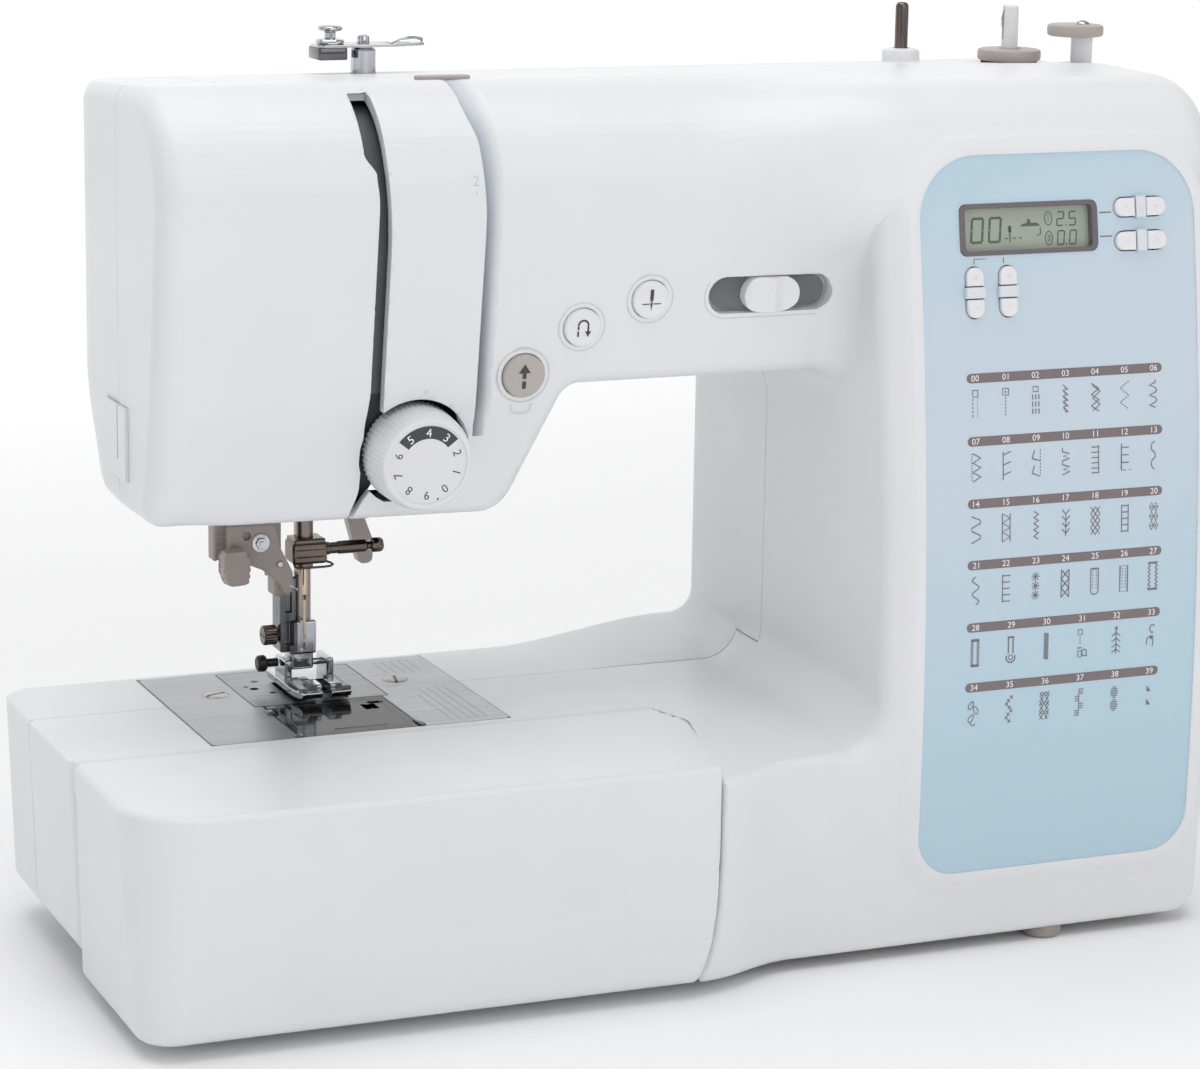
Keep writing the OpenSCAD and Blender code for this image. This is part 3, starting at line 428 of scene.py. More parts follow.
def cuts(F, x, y, z):
    """openings through the walls"""
    c = bxf(x, y, z, -53.4, 53.4, -44.8, 45.8, -4, 3)
    c = np.minimum(c, bxf(x, y, z, -44, 36, -30, 46.5, HEADZ - 3, HEADZ + 3.2))
    c = np.minimum(c, bxf(x, y, z, 20, 46, 33, 46.5, HEADZ - 3, HEADZ + 17))
    slot = np.maximum(np.maximum(slot_left(z) - x, x - slot_right(z)), np.maximum(-90 - y, y + 54))
    slot = np.maximum(slot, np.maximum(HEADZ - 5 - z, z - 216))
    c = np.minimum(c, slot)
    c = np.minimum(c, np.maximum(cylf(y - 8, z - 160, 19.5), 285 - x))
    c = np.minimum(c, np.maximum(T_PLAN_BOT(x, y), z + 72.2))
    c = np.minimum(c, bxf(x, y, z, -84, LEFT + 2.8, -38.2, -13.8, 89.8, 114.2))
    c = np.minimum(c, bxf(x, y, z, RIGHT - 4, RIGHT + 3, 8.8, 35.2, -60.2, -31.8))
    c = np.minimum(c, bxf(x, y, z, RIGHT - 5, RIGHT + 3, 14.6, 29.4, -25.4, -4.6))
    m = (y < -40) & (z > 60)
    if m.any():
        xs, ys, zs, k = x[m], y[m], z[m], c[m]
        for (bx_, bz_), r in ((START, 7.7), (REVERSE, 6.8), (NEEDLEB, 6.8)):
            a, b, n = on_arm(bx_, bz_).local(xs, ys, zs)
            q = np.maximum(cylf(a, b, r), np.abs(n) - 15)
            # a small dished seat round the button
            q = np.minimum(q, np.maximum(cylf(a, b, r + 0.9), -n - 0.7))
            k = np.minimum(k, q)
        a, b, n = on_arm(*SLIDER).local(xs, ys, zs)
        k = np.minimum(k, np.maximum(pillf(a, b, 45.4, 12.9), np.abs(n - 1.4) - 6.0))
        k = np.minimum(k, np.maximum(np.maximum(np.abs(a) - 15.5, np.abs(b) - 2.3), np.abs(n) - 10))
        a, b, n = DIAL.local(xs, ys, zs)
        q = np.maximum(np.maximum(cylf(a, b, 19.0), np.abs(n + 4) - 15), np.maximum(82.5 - zs, slot_left(zs) - 0.8 - xs))
        k = np.minimum(k, q)
        a, b, n = on_panel(*LCD).local(xs, ys, zs)
        k = np.minimum(k, np.maximum(np.maximum(np.abs(a) - 26.9, np.abs(b) - 8.9), np.abs(n + 1) - 8))
        for kx, kz_, ang in KEYS:
            a, b, n = on_panel(kx, kz_).local(xs, ys, zs)
            if ang:
                a, b = b, -a
            k = np.minimum(k, np.maximum(pillf(a, b, (17.0 if ang else 19.8) + 0.8, 7.1), np.abs(n + 2) - 6))
        c[m] = k
    m = z > 186
    if m.any():
        xs, ys, zs, k = x[m], y[m], z[m], c[m]
        q = np.maximum(pillf(xs - WINDER[0] - 2, ys, 12.6, 7.6), 200 - zs)
        q = np.minimum(q, np.maximum(cylf(xs - WINDER[0] - 4.4, ys, 18.2), 214.4 - zs))
        q = np.minimum(q, np.maximum(cylf(xs - STOP[0], ys - STOP[1], 4.1), 200 - zs))
        q = np.minimum(q, np.maximum(cylf(xs - 23.6, ys - 25, 4.6), 200 - zs))
        q = np.minimum(q, cylf(xs - SPOOL[0], ys - SPOOL[1], 2.45))
        c[m] = np.minimum(k, q)
    return np.maximum(F, -c)


T_PLAN_BOT = Table(np.array([(109.4 + 0.217 * (68 - 110.3) + 3.08, -107.5), (112.2, -68), (107.6, -50.6), (107.6, -44.2), (62.8, -44.2), (62.8, 47.2), (294.2, 47.2), (294.2, -107.5)]), -110, 305, -128, 56)


def housing(x, y, z):
    """hollow mouldings with everything cut out of them"""
    F = skin(x, y, z)
    inner = F + 3.8
    solid = np.maximum(F, -inner)
    # pockets and bosses
    a, b, n = on_arm(*SLIDER).local(x, y, z)
    solid = np.minimum(solid, np.maximum(np.maximum(np.maximum(np.abs(a) - 25, np.abs(b) - 9), np.abs(n + 4.6) - 2.4), F))
    solid = np.minimum(solid, np.maximum(bxf(x, y, z, 66, 154, 24, 49, 180, 206), F))
    solid = np.minimum(solid, np.maximum(cylf(x - SPOOL[0], y - SPOOL[1], 6.9), np.abs(z - 211.1) - 7.1))
    # floor of the winder recess
    solid = np.minimum(solid, np.maximum(np.maximum(cylf(x - WINDER[0] - 4.4, y - WINDER[1], 20.4), np.abs(z - 213.2) - 1.2), F + 1.0))
    F = cuts(solid, x, y, z)
    grip = rmax(rmax(np.maximum(68.5 - x, x - 151.5), np.maximum(182.5 - z, z - 203.5), 4.0), 26.5 - y, 3.0)
    return np.maximum(F, -grip)


GAP = 0.16


def zone(y, z):
    return np.minimum(y + 13, np.maximum(y - 7, z - 10))


def head_end(x, y, z):
    return np.maximum(np.maximum(x + 45, HEADZ - 3 - z), -y - 27)


def f_front(x, y, z):
    return np.maximum(housing(x, y, z), np.maximum(zone(y, z), -head_end(x, y, z)) + GAP)


def f_rear(x, y, z):
    return np.maximum(housing(x, y, z), np.maximum(-zone(y, z), -head_end(x, y, z)) + GAP)


def f_face(x, y, z):
    return np.maximum(housing(x, y, z), head_end(x, y, z) + GAP)


def f_box(x, y, z):
    """flat-bed attachment"""
    P = rmax(-102 - 0.028 * z - x, -122.5 - 0.0106 * (x + 102) - y, 12.5 + 11.0 * sstep(-72, -8, z))
    r = 2.5 + 2.2 * sstep(-28, -46, z)
    F = rmax(P, np.maximum(z + 0.12, -75 - z), r)
    x0 = x
    x = x + seam_bend(z)
    side = 0.977 * (x - (109.4 - 0.7) - 0.217 * (y + 68))
    side = np.where(y > -68, (x - 108.7 + 0.29 * (y + 68)) * 0.96, side)
    side = np.maximum(side, x - 108.7)
    side = np.maximum(side, np.where(y > -56, x - 104.3, -1e3))
    F = rmax(F, side, 0.7)
    F = rmax(F, y + 50.2, 0.5)
    # shallow finger notch on the left side
    F = np.maximum(F, -np.maximum(np.maximum(np.abs(y + 52.5) - 4.5, np.abs(z + 18) - 6.5), x0 + 101.2))
    hollow = np.maximum(np.maximum(P + 3.3, side + 3.3), np.maximum(z + 3.3, -71.6 - z))
    hollow = np.maximum(hollow, y + 45)
    return np.maximum(F, -hollow)


# ------------------------------------------------------------------ mesh helpers
def mesh_object(name, verts, faces, mats, index=None, smooth=True, angle=35.0):
    """verts in plate millimetres"""
    me = bpy.data.meshes.new(name)
    V = W(verts)
    if isinstance(faces, np.ndarray):
        F = faces
        nf, k = F.shape
        me.vertices.add(len(V))
        me.vertices.foreach_set("co", V.astype(np.float32).ravel())
        me.loops.add(nf * k)
        me.loops.foreach_set("vertex_index", F.astype(np.int32).ravel())
        me.polygons.add(nf)
        me.polygons.foreach_set("loop_start", np.arange(0, nf * k, k, dtype=np.int32))
        me.polygons.foreach_set("loop_total", np.full(nf, k, np.int32))
        me.update(calc_edges=True)
    else:
        me.from_pydata([tuple(v) for v in V], [], [tuple(int(i) for i in f) for f in faces])
        me.update()
    me.validate(verbose=False)
    for m in mats if isinstance(mats, (list, tuple)) else [mats]:
        me.materials.append(m)
    if index is not None and len(index) == len(me.polygons):
        me.polygons.foreach_set("material_index", np.asarray(index, np.int32))
    me.polygons.foreach_set("use_smooth", np.full(len(me.polygons), smooth))
    if smooth:
        me.set_sharp_from_angle(angle=math.radians(angle))
    ob = bpy.data.objects.new(name, me)
    bpy.context.scene.collection.objects.link(ob)
    return ob


def field_object(name, F, lo, hi, h, mats, inside=None, keep=1.0):
    X, Q = contour(F, lo, hi, h)
    ob = mesh_object(name, X, Q, mats)
    if keep < 1:
        mod = ob.modifiers.new("thin", "DECIMATE")
        mod.ratio = keep
        dg = bpy.context.evaluated_depsgraph_get()
        me = bpy.data.meshes.new_from_object(ob.evaluated_get(dg))
        ob.modifiers.clear()
        old = ob.data
        ob.data = me
        bpy.data.meshes.remove(old)
        me.name = name
    me = ob.data
    n = len(me.vertices)
    co = np.zeros(n * 3, np.float32)
    me.vertices.foreach_get("co", co)
    P = (co.reshape(-1, 3).astype(float) - O) * 1000
    G = gradient(F, P)
    nf = len(me.polygons)
    fn = np.zeros(nf * 3, np.float32)
    me.polygons.foreach_get("normal", fn)
    fn = fn.reshape(-1, 3)
    tot = np.zeros(nf, np.int32)
    me.polygons.foreach_get("loop_total", tot)
    lv = np.zeros(len(me.loops), np.int32)
    me.loops.foreach_get("vertex_index", lv)
    lf = np.repeat(np.arange(nf), tot)
    nl = G[lv]
    bad = (nl * fn[lf]).sum(1) < 0.8
    nl[bad] = fn[lf][bad]
    me.polygons.foreach_set("use_smooth", np.ones(nf, bool))
    me.normals_split_custom_set(nl)
    if inside is not None:
        c = np.zeros(nf * 3, np.float32)
        me.polygons.foreach_get("center", c)
        c = (c.reshape(-1, 3).astype(float) - O) * 1000
        me.polygons.foreach_set("material_index", inside(c[:, 0], c[:, 1], c[:, 2], fn).astype(np.int32))
    me.update()
    return ob


def join_parts(parts):
    """[(verts, faces)] to one pair"""
    V, F, o = [], [], 0
    for v, f in parts:
        V.append(np.asarray(v, float))
        F += [tuple(int(i) + o for i in q) for q in f]
        o += len(v)
    return np.vstack(V), F


def lathe(prof, n=48, close=True):
    """turn (r, h) points about the h axis; ends on the axis are closed by a fan"""
    prof = [tuple(p) for p in prof]
    V, F, rings = [], [], []
    for r, hgt in prof:
        if r < 1e-6:
            rings.append([len(V)])
            V.append((0, 0, hgt))
        else:
            rings.append(list(range(len(V), len(V) + n)))
            for i in range(n):
                t = 2 * math.pi * i / n
                V.append((r * math.cos(t), r * math.sin(t), hgt))
    for a, b in zip(rings, rings[1:]):
        for i in range(n):
            j = (i + 1) % n
            if len(a) == 1 and len(b) == 1:
                continue
            if len(a) == 1:
                F.append((a[0], b[i], b[j]))
            elif len(b) == 1:
                F.append((a[i], b[0], a[j]))
            else:
                F.append((a[i], b[i], b[j], a[j]))
    if close and len(rings[0]) > 1 and len(rings[-1]) > 1:
        a, b = rings[-1], rings[0]
        for i in range(n):
            j = (i + 1) % n
            F.append((a[i], b[i], b[j], a[j]))
    return np.array(V, float), [f[::-1] for f in F]


def placed(vf, plane=None, o=(0, 0, 0)):
    """move a mesh from a flat frame (a, b, outward) to the plate frame"""
    v, f = vf
    v = np.asarray(v, float)
    if plane is None:
        return v + np.array(o, float), f
    return plane.o + v[:, :1] * plane.u + v[:, 1:2] * plane.v + v[:, 2:3] * plane.n, f


def along(vf, o, axis):
    """turn a mesh made about +z to another axis: 'x', '-x', 'y', '-y'"""
    v, f = vf
    v = np.asarray(v, float)
    M = {"x": [(0, 0, 1), (0, 1, 0), (-1, 0, 0)], "-x": [(0, 0, -1), (0, 1, 0), (1, 0, 0)],
         "y": [(1, 0, 0), (0, 0, 1), (0, -1, 0)], "-y": [(1, 0, 0), (0, 0, -1), (0, 1, 0)], "z": [(1, 0, 0), (0, 1, 0), (0, 0, 1)]}[axis]
    return v @ np.array(M, float).T + np.array(o, float), f


def prism(P, z0, z1, bevel=0.0, n=2):
    """outline extruded from z0 to z1 with rounded rims"""
    P = np.asarray(P, float)
    k = len(P)
    if P[:, 0] @ np.roll(P[:, 1], -1) - P[:, 1] @ np.roll(P[:, 0], -1) < 0:
        P = P[::-1]
    t = np.roll(P, -1, 0) - np.roll(P, 1, 0)
    nrm = np.c_[t[:, 1], -t[:, 0]]
    nrm /= np.maximum(np.linalg.norm(nrm, axis=1), 1e-9)[:, None]
    levels = []
    if bevel > 0:
        for i in range(n + 1):
            a = math.pi / 2 * i / n
            levels.append((z0 + bevel * (1 - math.cos(a)), bevel * (1 - math.sin(a))))
        for i in range(n + 1):
            a = math.pi / 2 * (1 - i / n)
            levels.append((z1 - bevel * (1 - math.cos(a)), bevel * (1 - math.sin(a))))
    else:
        levels = [(z0, 0), (z1, 0)]
    V, F = [], []
    for z, s in levels:
        for p, q in zip(P, nrm):
            V.append((p[0] - q[0] * s, p[1] - q[1] * s, z))
    m = len(levels)
    for l in range(m - 1):
        for i in range(k):
            j = (i + 1) % k
            F.append((l * k + i, l * k + j, (l + 1) * k + j, (l + 1) * k + i))
    F.append(tuple(range(k - 1, -1, -1)))
    F.append(tuple((m - 1) * k + i for i in range(k)))
    return np.array(V, float), F


def tube(path, r, n=8, caps=True):
    """round bar along points"""
    P = np.asarray(path, float)
    T = np.gradient(P, axis=0)
    T /= np.linalg.norm(T, axis=1)[:, None]
    up = np.array([0, 0, 1.0]) if abs(T[0][2]) < 0.9 else np.array([1.0, 0, 0])
    V, F = [], []
    a = np.cross(T[0], up)
    a /= np.linalg.norm(a)
    rr = np.broadcast_to(np.asarray(r, float), (len(P),))
    for p, t, q in zip(P, T, rr):
        a = a - t * (a @ t)
        a /= np.linalg.norm(a)
        b = np.cross(t, a)
        for i in range(n):
            w = 2 * math.pi * i / n
            V.append(p + q * (a * math.cos(w) + b * math.sin(w)))
    for l in range(len(P) - 1):
        for i in range(n):
            j = (i + 1) % n
            F.append((l * n + i, l * n + j, (l + 1) * n + j, (l + 1) * n + i))
    if caps:
        F.append(tuple(range(n - 1, -1, -1)))
        F.append(tuple((len(P) - 1) * n + i for i in range(n)))
    return np.array(V, float), F


def ribbon(pts, w):
    """flat stroke of width w along 2-D points: verts (2-D), quads"""
    P = np.asarray(pts, float)
    closed = np.allclose(P[0], P[-1]) and len(P) > 3
    k = len(P)
    T = np.zeros_like(P)
    T[1:-1] = P[2:] - P[:-2]
    T[0], T[-1] = P[1] - P[0], P[-1] - P[-2]
    if closed:
        T[0] = T[-1] = P[1] - P[-2]
    T /= np.maximum(np.linalg.norm(T, axis=1), 1e-9)[:, None]
    N = np.c_[-T[:, 1], T[:, 0]] * (w / 2)
    S = np.ones(k)
    for i in range(1, k - 1):
        a, b = P[i] - P[i - 1], P[i + 1] - P[i]
        c = (a @ b) / max(np.linalg.norm(a) * np.linalg.norm(b), 1e-9)
        S[i] = min(1.8, 1 / max(0.35, math.sqrt(max(0.0, (1 + c) / 2))))
    V = np.vstack([P + N * S[:, None], P - N * S[:, None]])
    F = [(i, k + i, k + i + 1, i + 1) for i in range(k - 1)]
    return V, F


def printed(name, shapes, place, mat, body="housing", lift=0.06):
    """flat artwork laid on a surface; place(a, b) gives the point and lift is along its outward normal"""
    V, F, o = [], [], 0
    for v, f in shapes:
        V.append(np.asarray(v, float))
        F += [tuple(int(i) + o for i in q) for q in f]
        o += len(v)
    if not V:
        return None
    V = np.vstack(V)
    ob = mesh_object(name, place(V[:, 0], V[:, 1], lift), F, mat, smooth=False)
    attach(ob, body)
    return ob


def disc2(c, r, n=20):
    t = np.linspace(0, 2 * math.pi, n, endpoint=False)
    return np.c_[c[0] + r * np.cos(t), c[1] + r * np.sin(t)], [tuple(range(n))]


def poly2(P):
    P = np.asarray(P, float)
    a = P[:, 0] @ np.roll(P[:, 1], -1) - P[:, 1] @ np.roll(P[:, 0], -1)
    if a < 0:
        P = P[::-1]
    return P, [tuple(range(len(P)))]


def move2(vf, dx=0, dy=0, s=1.0, rot=0.0, sx=1.0):
    v, f = vf
    c, d = math.cos(math.radians(rot)), math.sin(math.radians(rot))
    v = np.asarray(v, float) * [sx * s, s]
    return v @ np.array([[c, d], [-d, c]]) + [dx, dy], f


_glyph = {}


def glyphs(text, size, dx=0, dy=0, rot=0.0, squeeze=1.0):
    """generic lettering centred on (dx, dy), cap height = size"""
    if text not in _glyph:
        cu = bpy.data.curves.new("glyph", "FONT")
        cu.body = text
        cu.size = 1.0
        cu.align_x = "CENTER"
        cu.resolution_u = 3
        ob = bpy.data.objects.new("glyph", cu)
        bpy.context.scene.collection.objects.link(ob)
        dg = bpy.context.evaluated_depsgraph_get()
        dg.update()
        me = bpy.data.meshes.new_from_object(ob.evaluated_get(dg))
        v = np.array([p.co[:2] for p in me.vertices], float).reshape(-1, 2)
        f = [tuple(p.vertices) for p in me.polygons]
        nz = [p.normal[2] for p in me.polygons]
        f = [q if z > 0 else q[::-1] for q, z in zip(f, nz)]
        bpy.data.objects.remove(ob)
        bpy.data.curves.remove(cu)
        bpy.data.meshes.remove(me)
        lo, hi = v.min(0), v.max(0)
        v = v - [(lo[0] + hi[0]) / 2, (lo[1] + hi[1]) / 2]
        _glyph[text] = (v / (hi[1] - lo[1]), f)
    v, f = _glyph[text]
    return move2((v, f), dx, dy, size, rot, squeeze)


# ------------------------------------------------------------------ materials
def lin(c):
    c = np.array(c, float) / 255.0
    v = np.where(c <= 0.04045, c / 12.92, ((c + 0.055) / 1.055) ** 2.4)
    return (float(v[0]), float(v[1]), float(v[2]), 1.0)


class Mat:
    """a node material with small helpers"""

    def __init__(self, name):
        self.m = bpy.data.materials.new(name)
        self.m.use_nodes = True
        self.t = self.m.node_tree
        self.t.nodes.clear()
        self.out = self.n("ShaderNodeOutputMaterial")
        self.b = self.n("ShaderNodeBsdfPrincipled")
        self.link(self.b.outputs[0], self.out.inputs[0])
        self.tc = self.n("ShaderNodeTexCoord")
        self.co = self.tc.outputs["Object"]

    def n(self, kind, **kw):
        x = self.t.nodes.new(kind)
        for k, v in kw.items():
            setattr(x, k, v)
        return x

    def link(self, a, b):
        self.t.links.new(a, b)

    def noise(self, scale, detail=3.0, rough=0.55, stretch=None, vec=None):
        v = vec or self.co
        if stretch is not None:
            mp = self.n("ShaderNodeMapping")
            mp.inputs["Scale"].default_value = stretch
            self.link(v, mp.inputs[0])
            v = mp.outputs[0]
        x = self.n("ShaderNodeTexNoise")
        x.inputs["Scale"].default_value = scale
        x.inputs["Detail"].default_value = detail
        x.inputs["Roughness"].default_value = rough
        self.link(v, x.inputs["Vector"])
        return x.outputs["Fac"]

    def math(self, op, a, b=None, c=None, clamp=False):
        x = self.n("ShaderNodeMath", operation=op, use_clamp=clamp)
        for i, v in enumerate((a, b, c)):
            if v is None:
                continue
            if isinstance(v, (int, float)):
                x.inputs[i].default_value = v
            else:
                self.link(v, x.inputs[i])
        return x.outputs[0]

    def range(self, v, a, b, c, d, smooth=False):
        x = self.n("ShaderNodeMapRange", interpolation_type="SMOOTHSTEP" if smooth else "LINEAR")
        for i, q in enumerate((a, b, c, d)):
            x.inputs[i + 1].default_value = q
        self.link(v, x.inputs[0])
        return x.outputs[0]

    def mix(self, f, a, b):
        x = self.n("ShaderNodeMix", data_type="RGBA")
        self.link(f, x.inputs[0])
        for v, i in ((a, 6), (b, 7)):
            if isinstance(v, tuple):
                x.inputs[i].default_value = v
            else:
                self.link(v, x.inputs[i])
        return x.outputs[2]

    def bump(self, h, strength, dist):
        x = self.n("ShaderNodeBump")
        x.inputs["Strength"].default_value = strength
        x.inputs["Distance"].default_value = dist
        self.link(h, x.inputs["Height"])
        self.link(x.outputs[0], self.b.inputs["Normal"])

    def xyz(self):
        x = self.n("ShaderNodeSeparateXYZ")
        self.link(self.co, x.inputs[0])
        return x.outputs


def plastic(name, rgb, rough=0.4, vary=0.025, grain=0.05, size=1100.0, spec=0.5, coat=0.0):
    m = Mat(name)
    c = lin(rgb)
    d = tuple(max(0.0, v * (1 - vary * 2.2)) for v in c[:3]) + (1.0,)
    big = m.noise(14.0, 3.0)
    fine = m.noise(size, 2.0)
    m.link(m.mix(m.range(big, 0.35, 0.7, 0, 1, True), c, d), m.b.inputs["Base Color"])
    m.link(m.range(m.noise(60.0, 4.0), 0.3, 0.7, rough * 0.9, rough * 1.12), m.b.inputs["Roughness"])
    m.b.inputs["Specular IOR Level"].default_value = spec
    if coat:
        m.b.inputs["Coat Weight"].default_value = coat
        m.b.inputs["Coat Roughness"].default_value = 0.12
    m.bump(fine, grain, 0.0002)
    return m.m


def metal(name, rgb, rough=0.25, brush=None, vary=0.12, bump=0.05, tint=None):
    m = Mat(name)
    c = lin(rgb)
    d = tint and lin(tint) or tuple(v * (1 - vary) for v in c[:3]) + (1.0,)
    f = m.noise(260.0, 4.0, stretch=brush or (1, 1, 1))
    g = m.noise(35.0, 3.0)
    m.link(m.mix(m.range(g, 0.3, 0.7, 0, 1, True), c, d), m.b.inputs["Base Color"])
    m.b.inputs["Metallic"].default_value = 1.0
    m.link(m.range(f, 0.25, 0.75, rough * 0.75, rough * 1.3), m.b.inputs["Roughness"])
    m.bump(f, bump, 0.0001)
    return m.m


def ink(name, rgb, rough=0.45):
    m = Mat(name)
    c = lin(rgb)
    d = tuple(min(1.0, v * 1.1 + 0.004) for v in c[:3]) + (1.0,)
    m.link(m.mix(m.noise(900.0, 2.0), c, d), m.b.inputs["Base Color"])
    m.link(m.range(m.noise(200.0), 0.3, 0.7, rough * 0.9, rough * 1.1), m.b.inputs["Roughness"])
    return m.m


M = {}
M["shell"] = plastic("shell_white", (234, 235, 238), rough=0.36, vary=0.012, grain=0.035, size=1500.0)
# dark grey for the faces in the hollow: painted shade inside the body
M["inner"] = plastic("shell_inside_painted_shade", (58, 58, 60), rough=0.7, vary=0.1)
def liner_mat():
    """grey guide wall, darker in its lower part"""
    m = Mat("guide_wall")
    z = m.xyz()[2]
    z0 = float(O[2])
    up = m.range(z, z0 + 0.1190, z0 + 0.1196, 0, 1)
    c = m.mix(up, lin((62, 63, 66)), lin((112, 114, 118)))
    c = m.mix(m.range(z, z0 + 0.165, z0 + 0.21, 0, 1), c, lin((74, 76, 80)))
    c = m.mix(m.range(m.noise(90.0), 0.3, 0.7, 0, 0.25), c, lin((84, 86, 90)))
    m.link(c, m.b.inputs["Base Color"])
    m.link(m.range(m.noise(400.0), 0.3, 0.7, 0.45, 0.55), m.b.inputs["Roughness"])
    return m.m


M["liner"] = liner_mat()

def groove_shade_mat():
    """shell white that falls to a cool grey beside the cover strip: the grey is painted shade in the groove and its
    cool cast a painted reflection
    """
    m = Mat("groove_painted_shade")
    x, y, z = m.xyz()
    z0 = float(O[2])
    px = m.math("MULTIPLY", m.math("SUBTRACT", x, float(O[0])), 1000.0)
    pz = m.math("MULTIPLY", m.math("SUBTRACT", z, z0), 1000.0)
    sr = m.math("ADD", m.range(pz, 170, 203, 29.9, 28.5, True), m.range(pz, 200, 213, 0, -2.4, True))
    t = m.math("DIVIDE", m.math("SUBTRACT", px, sr), m.math("SUBTRACT", 34.7, sr))
    # painted shade, deepest at the strip's edge and lower down, with a painted cool reflection
    dark = m.mix(m.range(pz, 118, 200, 0, 1, True), lin((128, 131, 138)), lin((176, 184, 193)))
    mid = m.mix(m.range(pz, 118, 200, 0, 1, True), lin((176, 179, 187)), lin((206, 212, 219)))
    c = m.mix(m.range(t, 0.0, 0.42, 0, 1), dark, mid)
    white = lin((234, 235, 238))
    white = m.mix(m.range(m.noise(14.0, 3.0), 0.35, 0.7, 0, 1, True), white, tuple(v * (1 - 0.0264) for v in white[:3]) + (1.0,))
    c = m.mix(m.range(t, 0.4, 0.98, 0, 1, True), c, white)
    # the lip of the strip and everything beyond the groove stay white
    c = m.mix(m.math("LESS_THAN", t, -0.04), c, white)
    m.link(c, m.b.inputs["Base Color"])
    m.link(m.range(m.noise(60.0, 4.0), 0.3, 0.7, 0.33, 0.41), m.b.inputs["Roughness"])
    m.bump(m.noise(1500.0, 2.0), 0.035, 0.0002)
    return m.m


M["groove"] = groove_shade_mat()
# dark grey for the walls of the dial's well: painted shade in the recess
M["slotdark"] = plastic("dial_well_painted_shade", (64, 66, 69), rough=0.6, vary=0.08)
M["white"] = plastic("key_white", (236, 236, 238), rough=0.32, vary=0.01, grain=0.03)
M["dialw"] = plastic("dial_white", (232, 232, 234), rough=0.36, vary=0.012, grain=0.03)
M["taupe"] = plastic("taupe_plastic", (182, 172, 166), rough=0.42, vary=0.03, grain=0.08)
M["taupe2"] = plastic("taupe_button", (190, 183, 178), rough=0.38, vary=0.03, grain=0.06)
M["threader"] = plastic("threader_taupe", (168, 158, 152), rough=0.4, vary=0.06, grain=0.1)
M["bezel"] = plastic("display_bezel", (112, 104, 108), rough=0.35, vary=0.04)
M["black"] = plastic("black_plastic", (26, 26, 28), rough=0.4, vary=0.1, grain=0.1)
M["grey"] = plastic("grey_plastic", (105, 106, 110), rough=0.5, vary=0.06)
M["base"] = plastic("base_grey", (200, 200, 202), rough=0.55, vary=0.04, grain=0.12, size=700.0)
M["rubber"] = plastic("foot_rubber", (168, 158, 152), rough=0.75, vary=0.08, grain=0.3, size=600.0)
M["belt"] = plastic("belt_rubber", (30, 30, 30), rough=0.8, vary=0.1, grain=0.4, size=500.0)
M["steel"] = metal("plate_steel", (173, 174, 178), rough=0.34, brush=(0.06, 3.5, 1), vary=0.05, bump=0.12)
M["stitch"] = metal("stitch_steel", (158, 159, 162), rough=0.36, brush=(0.08, 3.0, 1), vary=0.08, bump=0.12)
M["chrome"] = metal("chrome", (206, 208, 212), rough=0.1, vary=0.25, bump=0.02, tint=(168, 170, 174))
M["chrome2"] = metal("dark_chrome", (120, 122, 126), rough=0.14, vary=0.3, bump=0.02, tint=(84, 86, 90))
M["nickel"] = metal("dark_nickel", (120, 108, 101), rough=0.22, vary=0.25, tint=(88, 80, 76), bump=0.04)
M["nickel3"] = metal("bar_nickel", (178, 166, 158), rough=0.25, brush=(1, 1, 0.1), vary=0.15, bump=0.05)
M["nickel2"] = metal("pin_nickel", (128, 118, 112), rough=0.24, brush=(1, 1, 0.1), vary=0.2, bump=0.05)
M["brass"] = metal("needle_steel", (205, 190, 165), rough=0.2, vary=0.12)
M["silver"] = metal("zinc", (200, 203, 206), rough=0.28, vary=0.1, bump=0.06)
M["cast"] = metal("cast_alloy", (140, 143, 147), rough=0.55, vary=0.12, bump=0.4)
M["motor"] = metal("motor_can", (120, 122, 126), rough=0.4, vary=0.12, bump=0.1)
M["ink"] = ink("ink_dark", (62, 62, 64))
M["inkb"] = ink("ink_bars", (124, 112, 113))
M["inkw"] = ink("ink_white", (240, 242, 244))
M["inks"] = ink("ink_symbols", (120, 112, 118))
M["emb"] = ink("emboss_grey", (204, 205, 210), 0.5)
M["lcdink"] = ink("lcd_segments", (92, 98, 90))
M["engrave"] = ink("engraving", (118, 119, 121), 0.5)
M["screw"] = metal("screw_steel", (190, 187, 184), rough=0.24, vary=0.2, tint=(140, 137, 134))
M["emb2"] = ink("emboss_light", (216, 217, 220), 0.5)
M["bridge"] = plastic("key_bridge", (226, 229, 233), rough=0.4, vary=0.012, grain=0.03)
M["track"] = plastic("slider_track", (120, 121, 125), rough=0.5, vary=0.25)


def panel_mat():
    m = Mat("panel_blue")
    x, y, z = m.xyz()
    fz = m.range(z, float(O[2]) - 0.05, float(O[2]) + 0.195, 0, 1)
    fx = m.range(x, float(O[0]) + 0.176, float(O[0]) + 0.283, 0, 1)
    r = m.n("ShaderNodeValToRGB")
    e = r.color_ramp.elements
    e[0].position, e[0].color = 0.0, lin((187, 213, 227))
    e[1].position, e[1].color = 1.0, lin((190, 215, 228))
    for p, c in ((0.28, (189, 214, 228)), (0.62, (206, 219, 229)), (0.82, (203, 218, 230))):
        q = e.new(p)
        q.color = lin(c)
    d = m.math("ADD", fz, m.math("MULTIPLY", m.math("SUBTRACT", fx, 0.5), -0.12))
    m.link(d, r.inputs[0])
    grain = m.noise(900.0, 2.0)
    dark = m.math("MULTIPLY", grain, 0.05)
    mx = m.mix(dark, r.outputs[0], lin((150, 190, 210)))
    m.link(mx, m.b.inputs["Base Color"])
    m.link(m.range(m.noise(90.0, 3.0), 0.3, 0.7, 0.30, 0.38), m.b.inputs["Roughness"])
    m.bump(m.noise(1600.0, 2.0), 0.03, 0.0001)
    return m.m


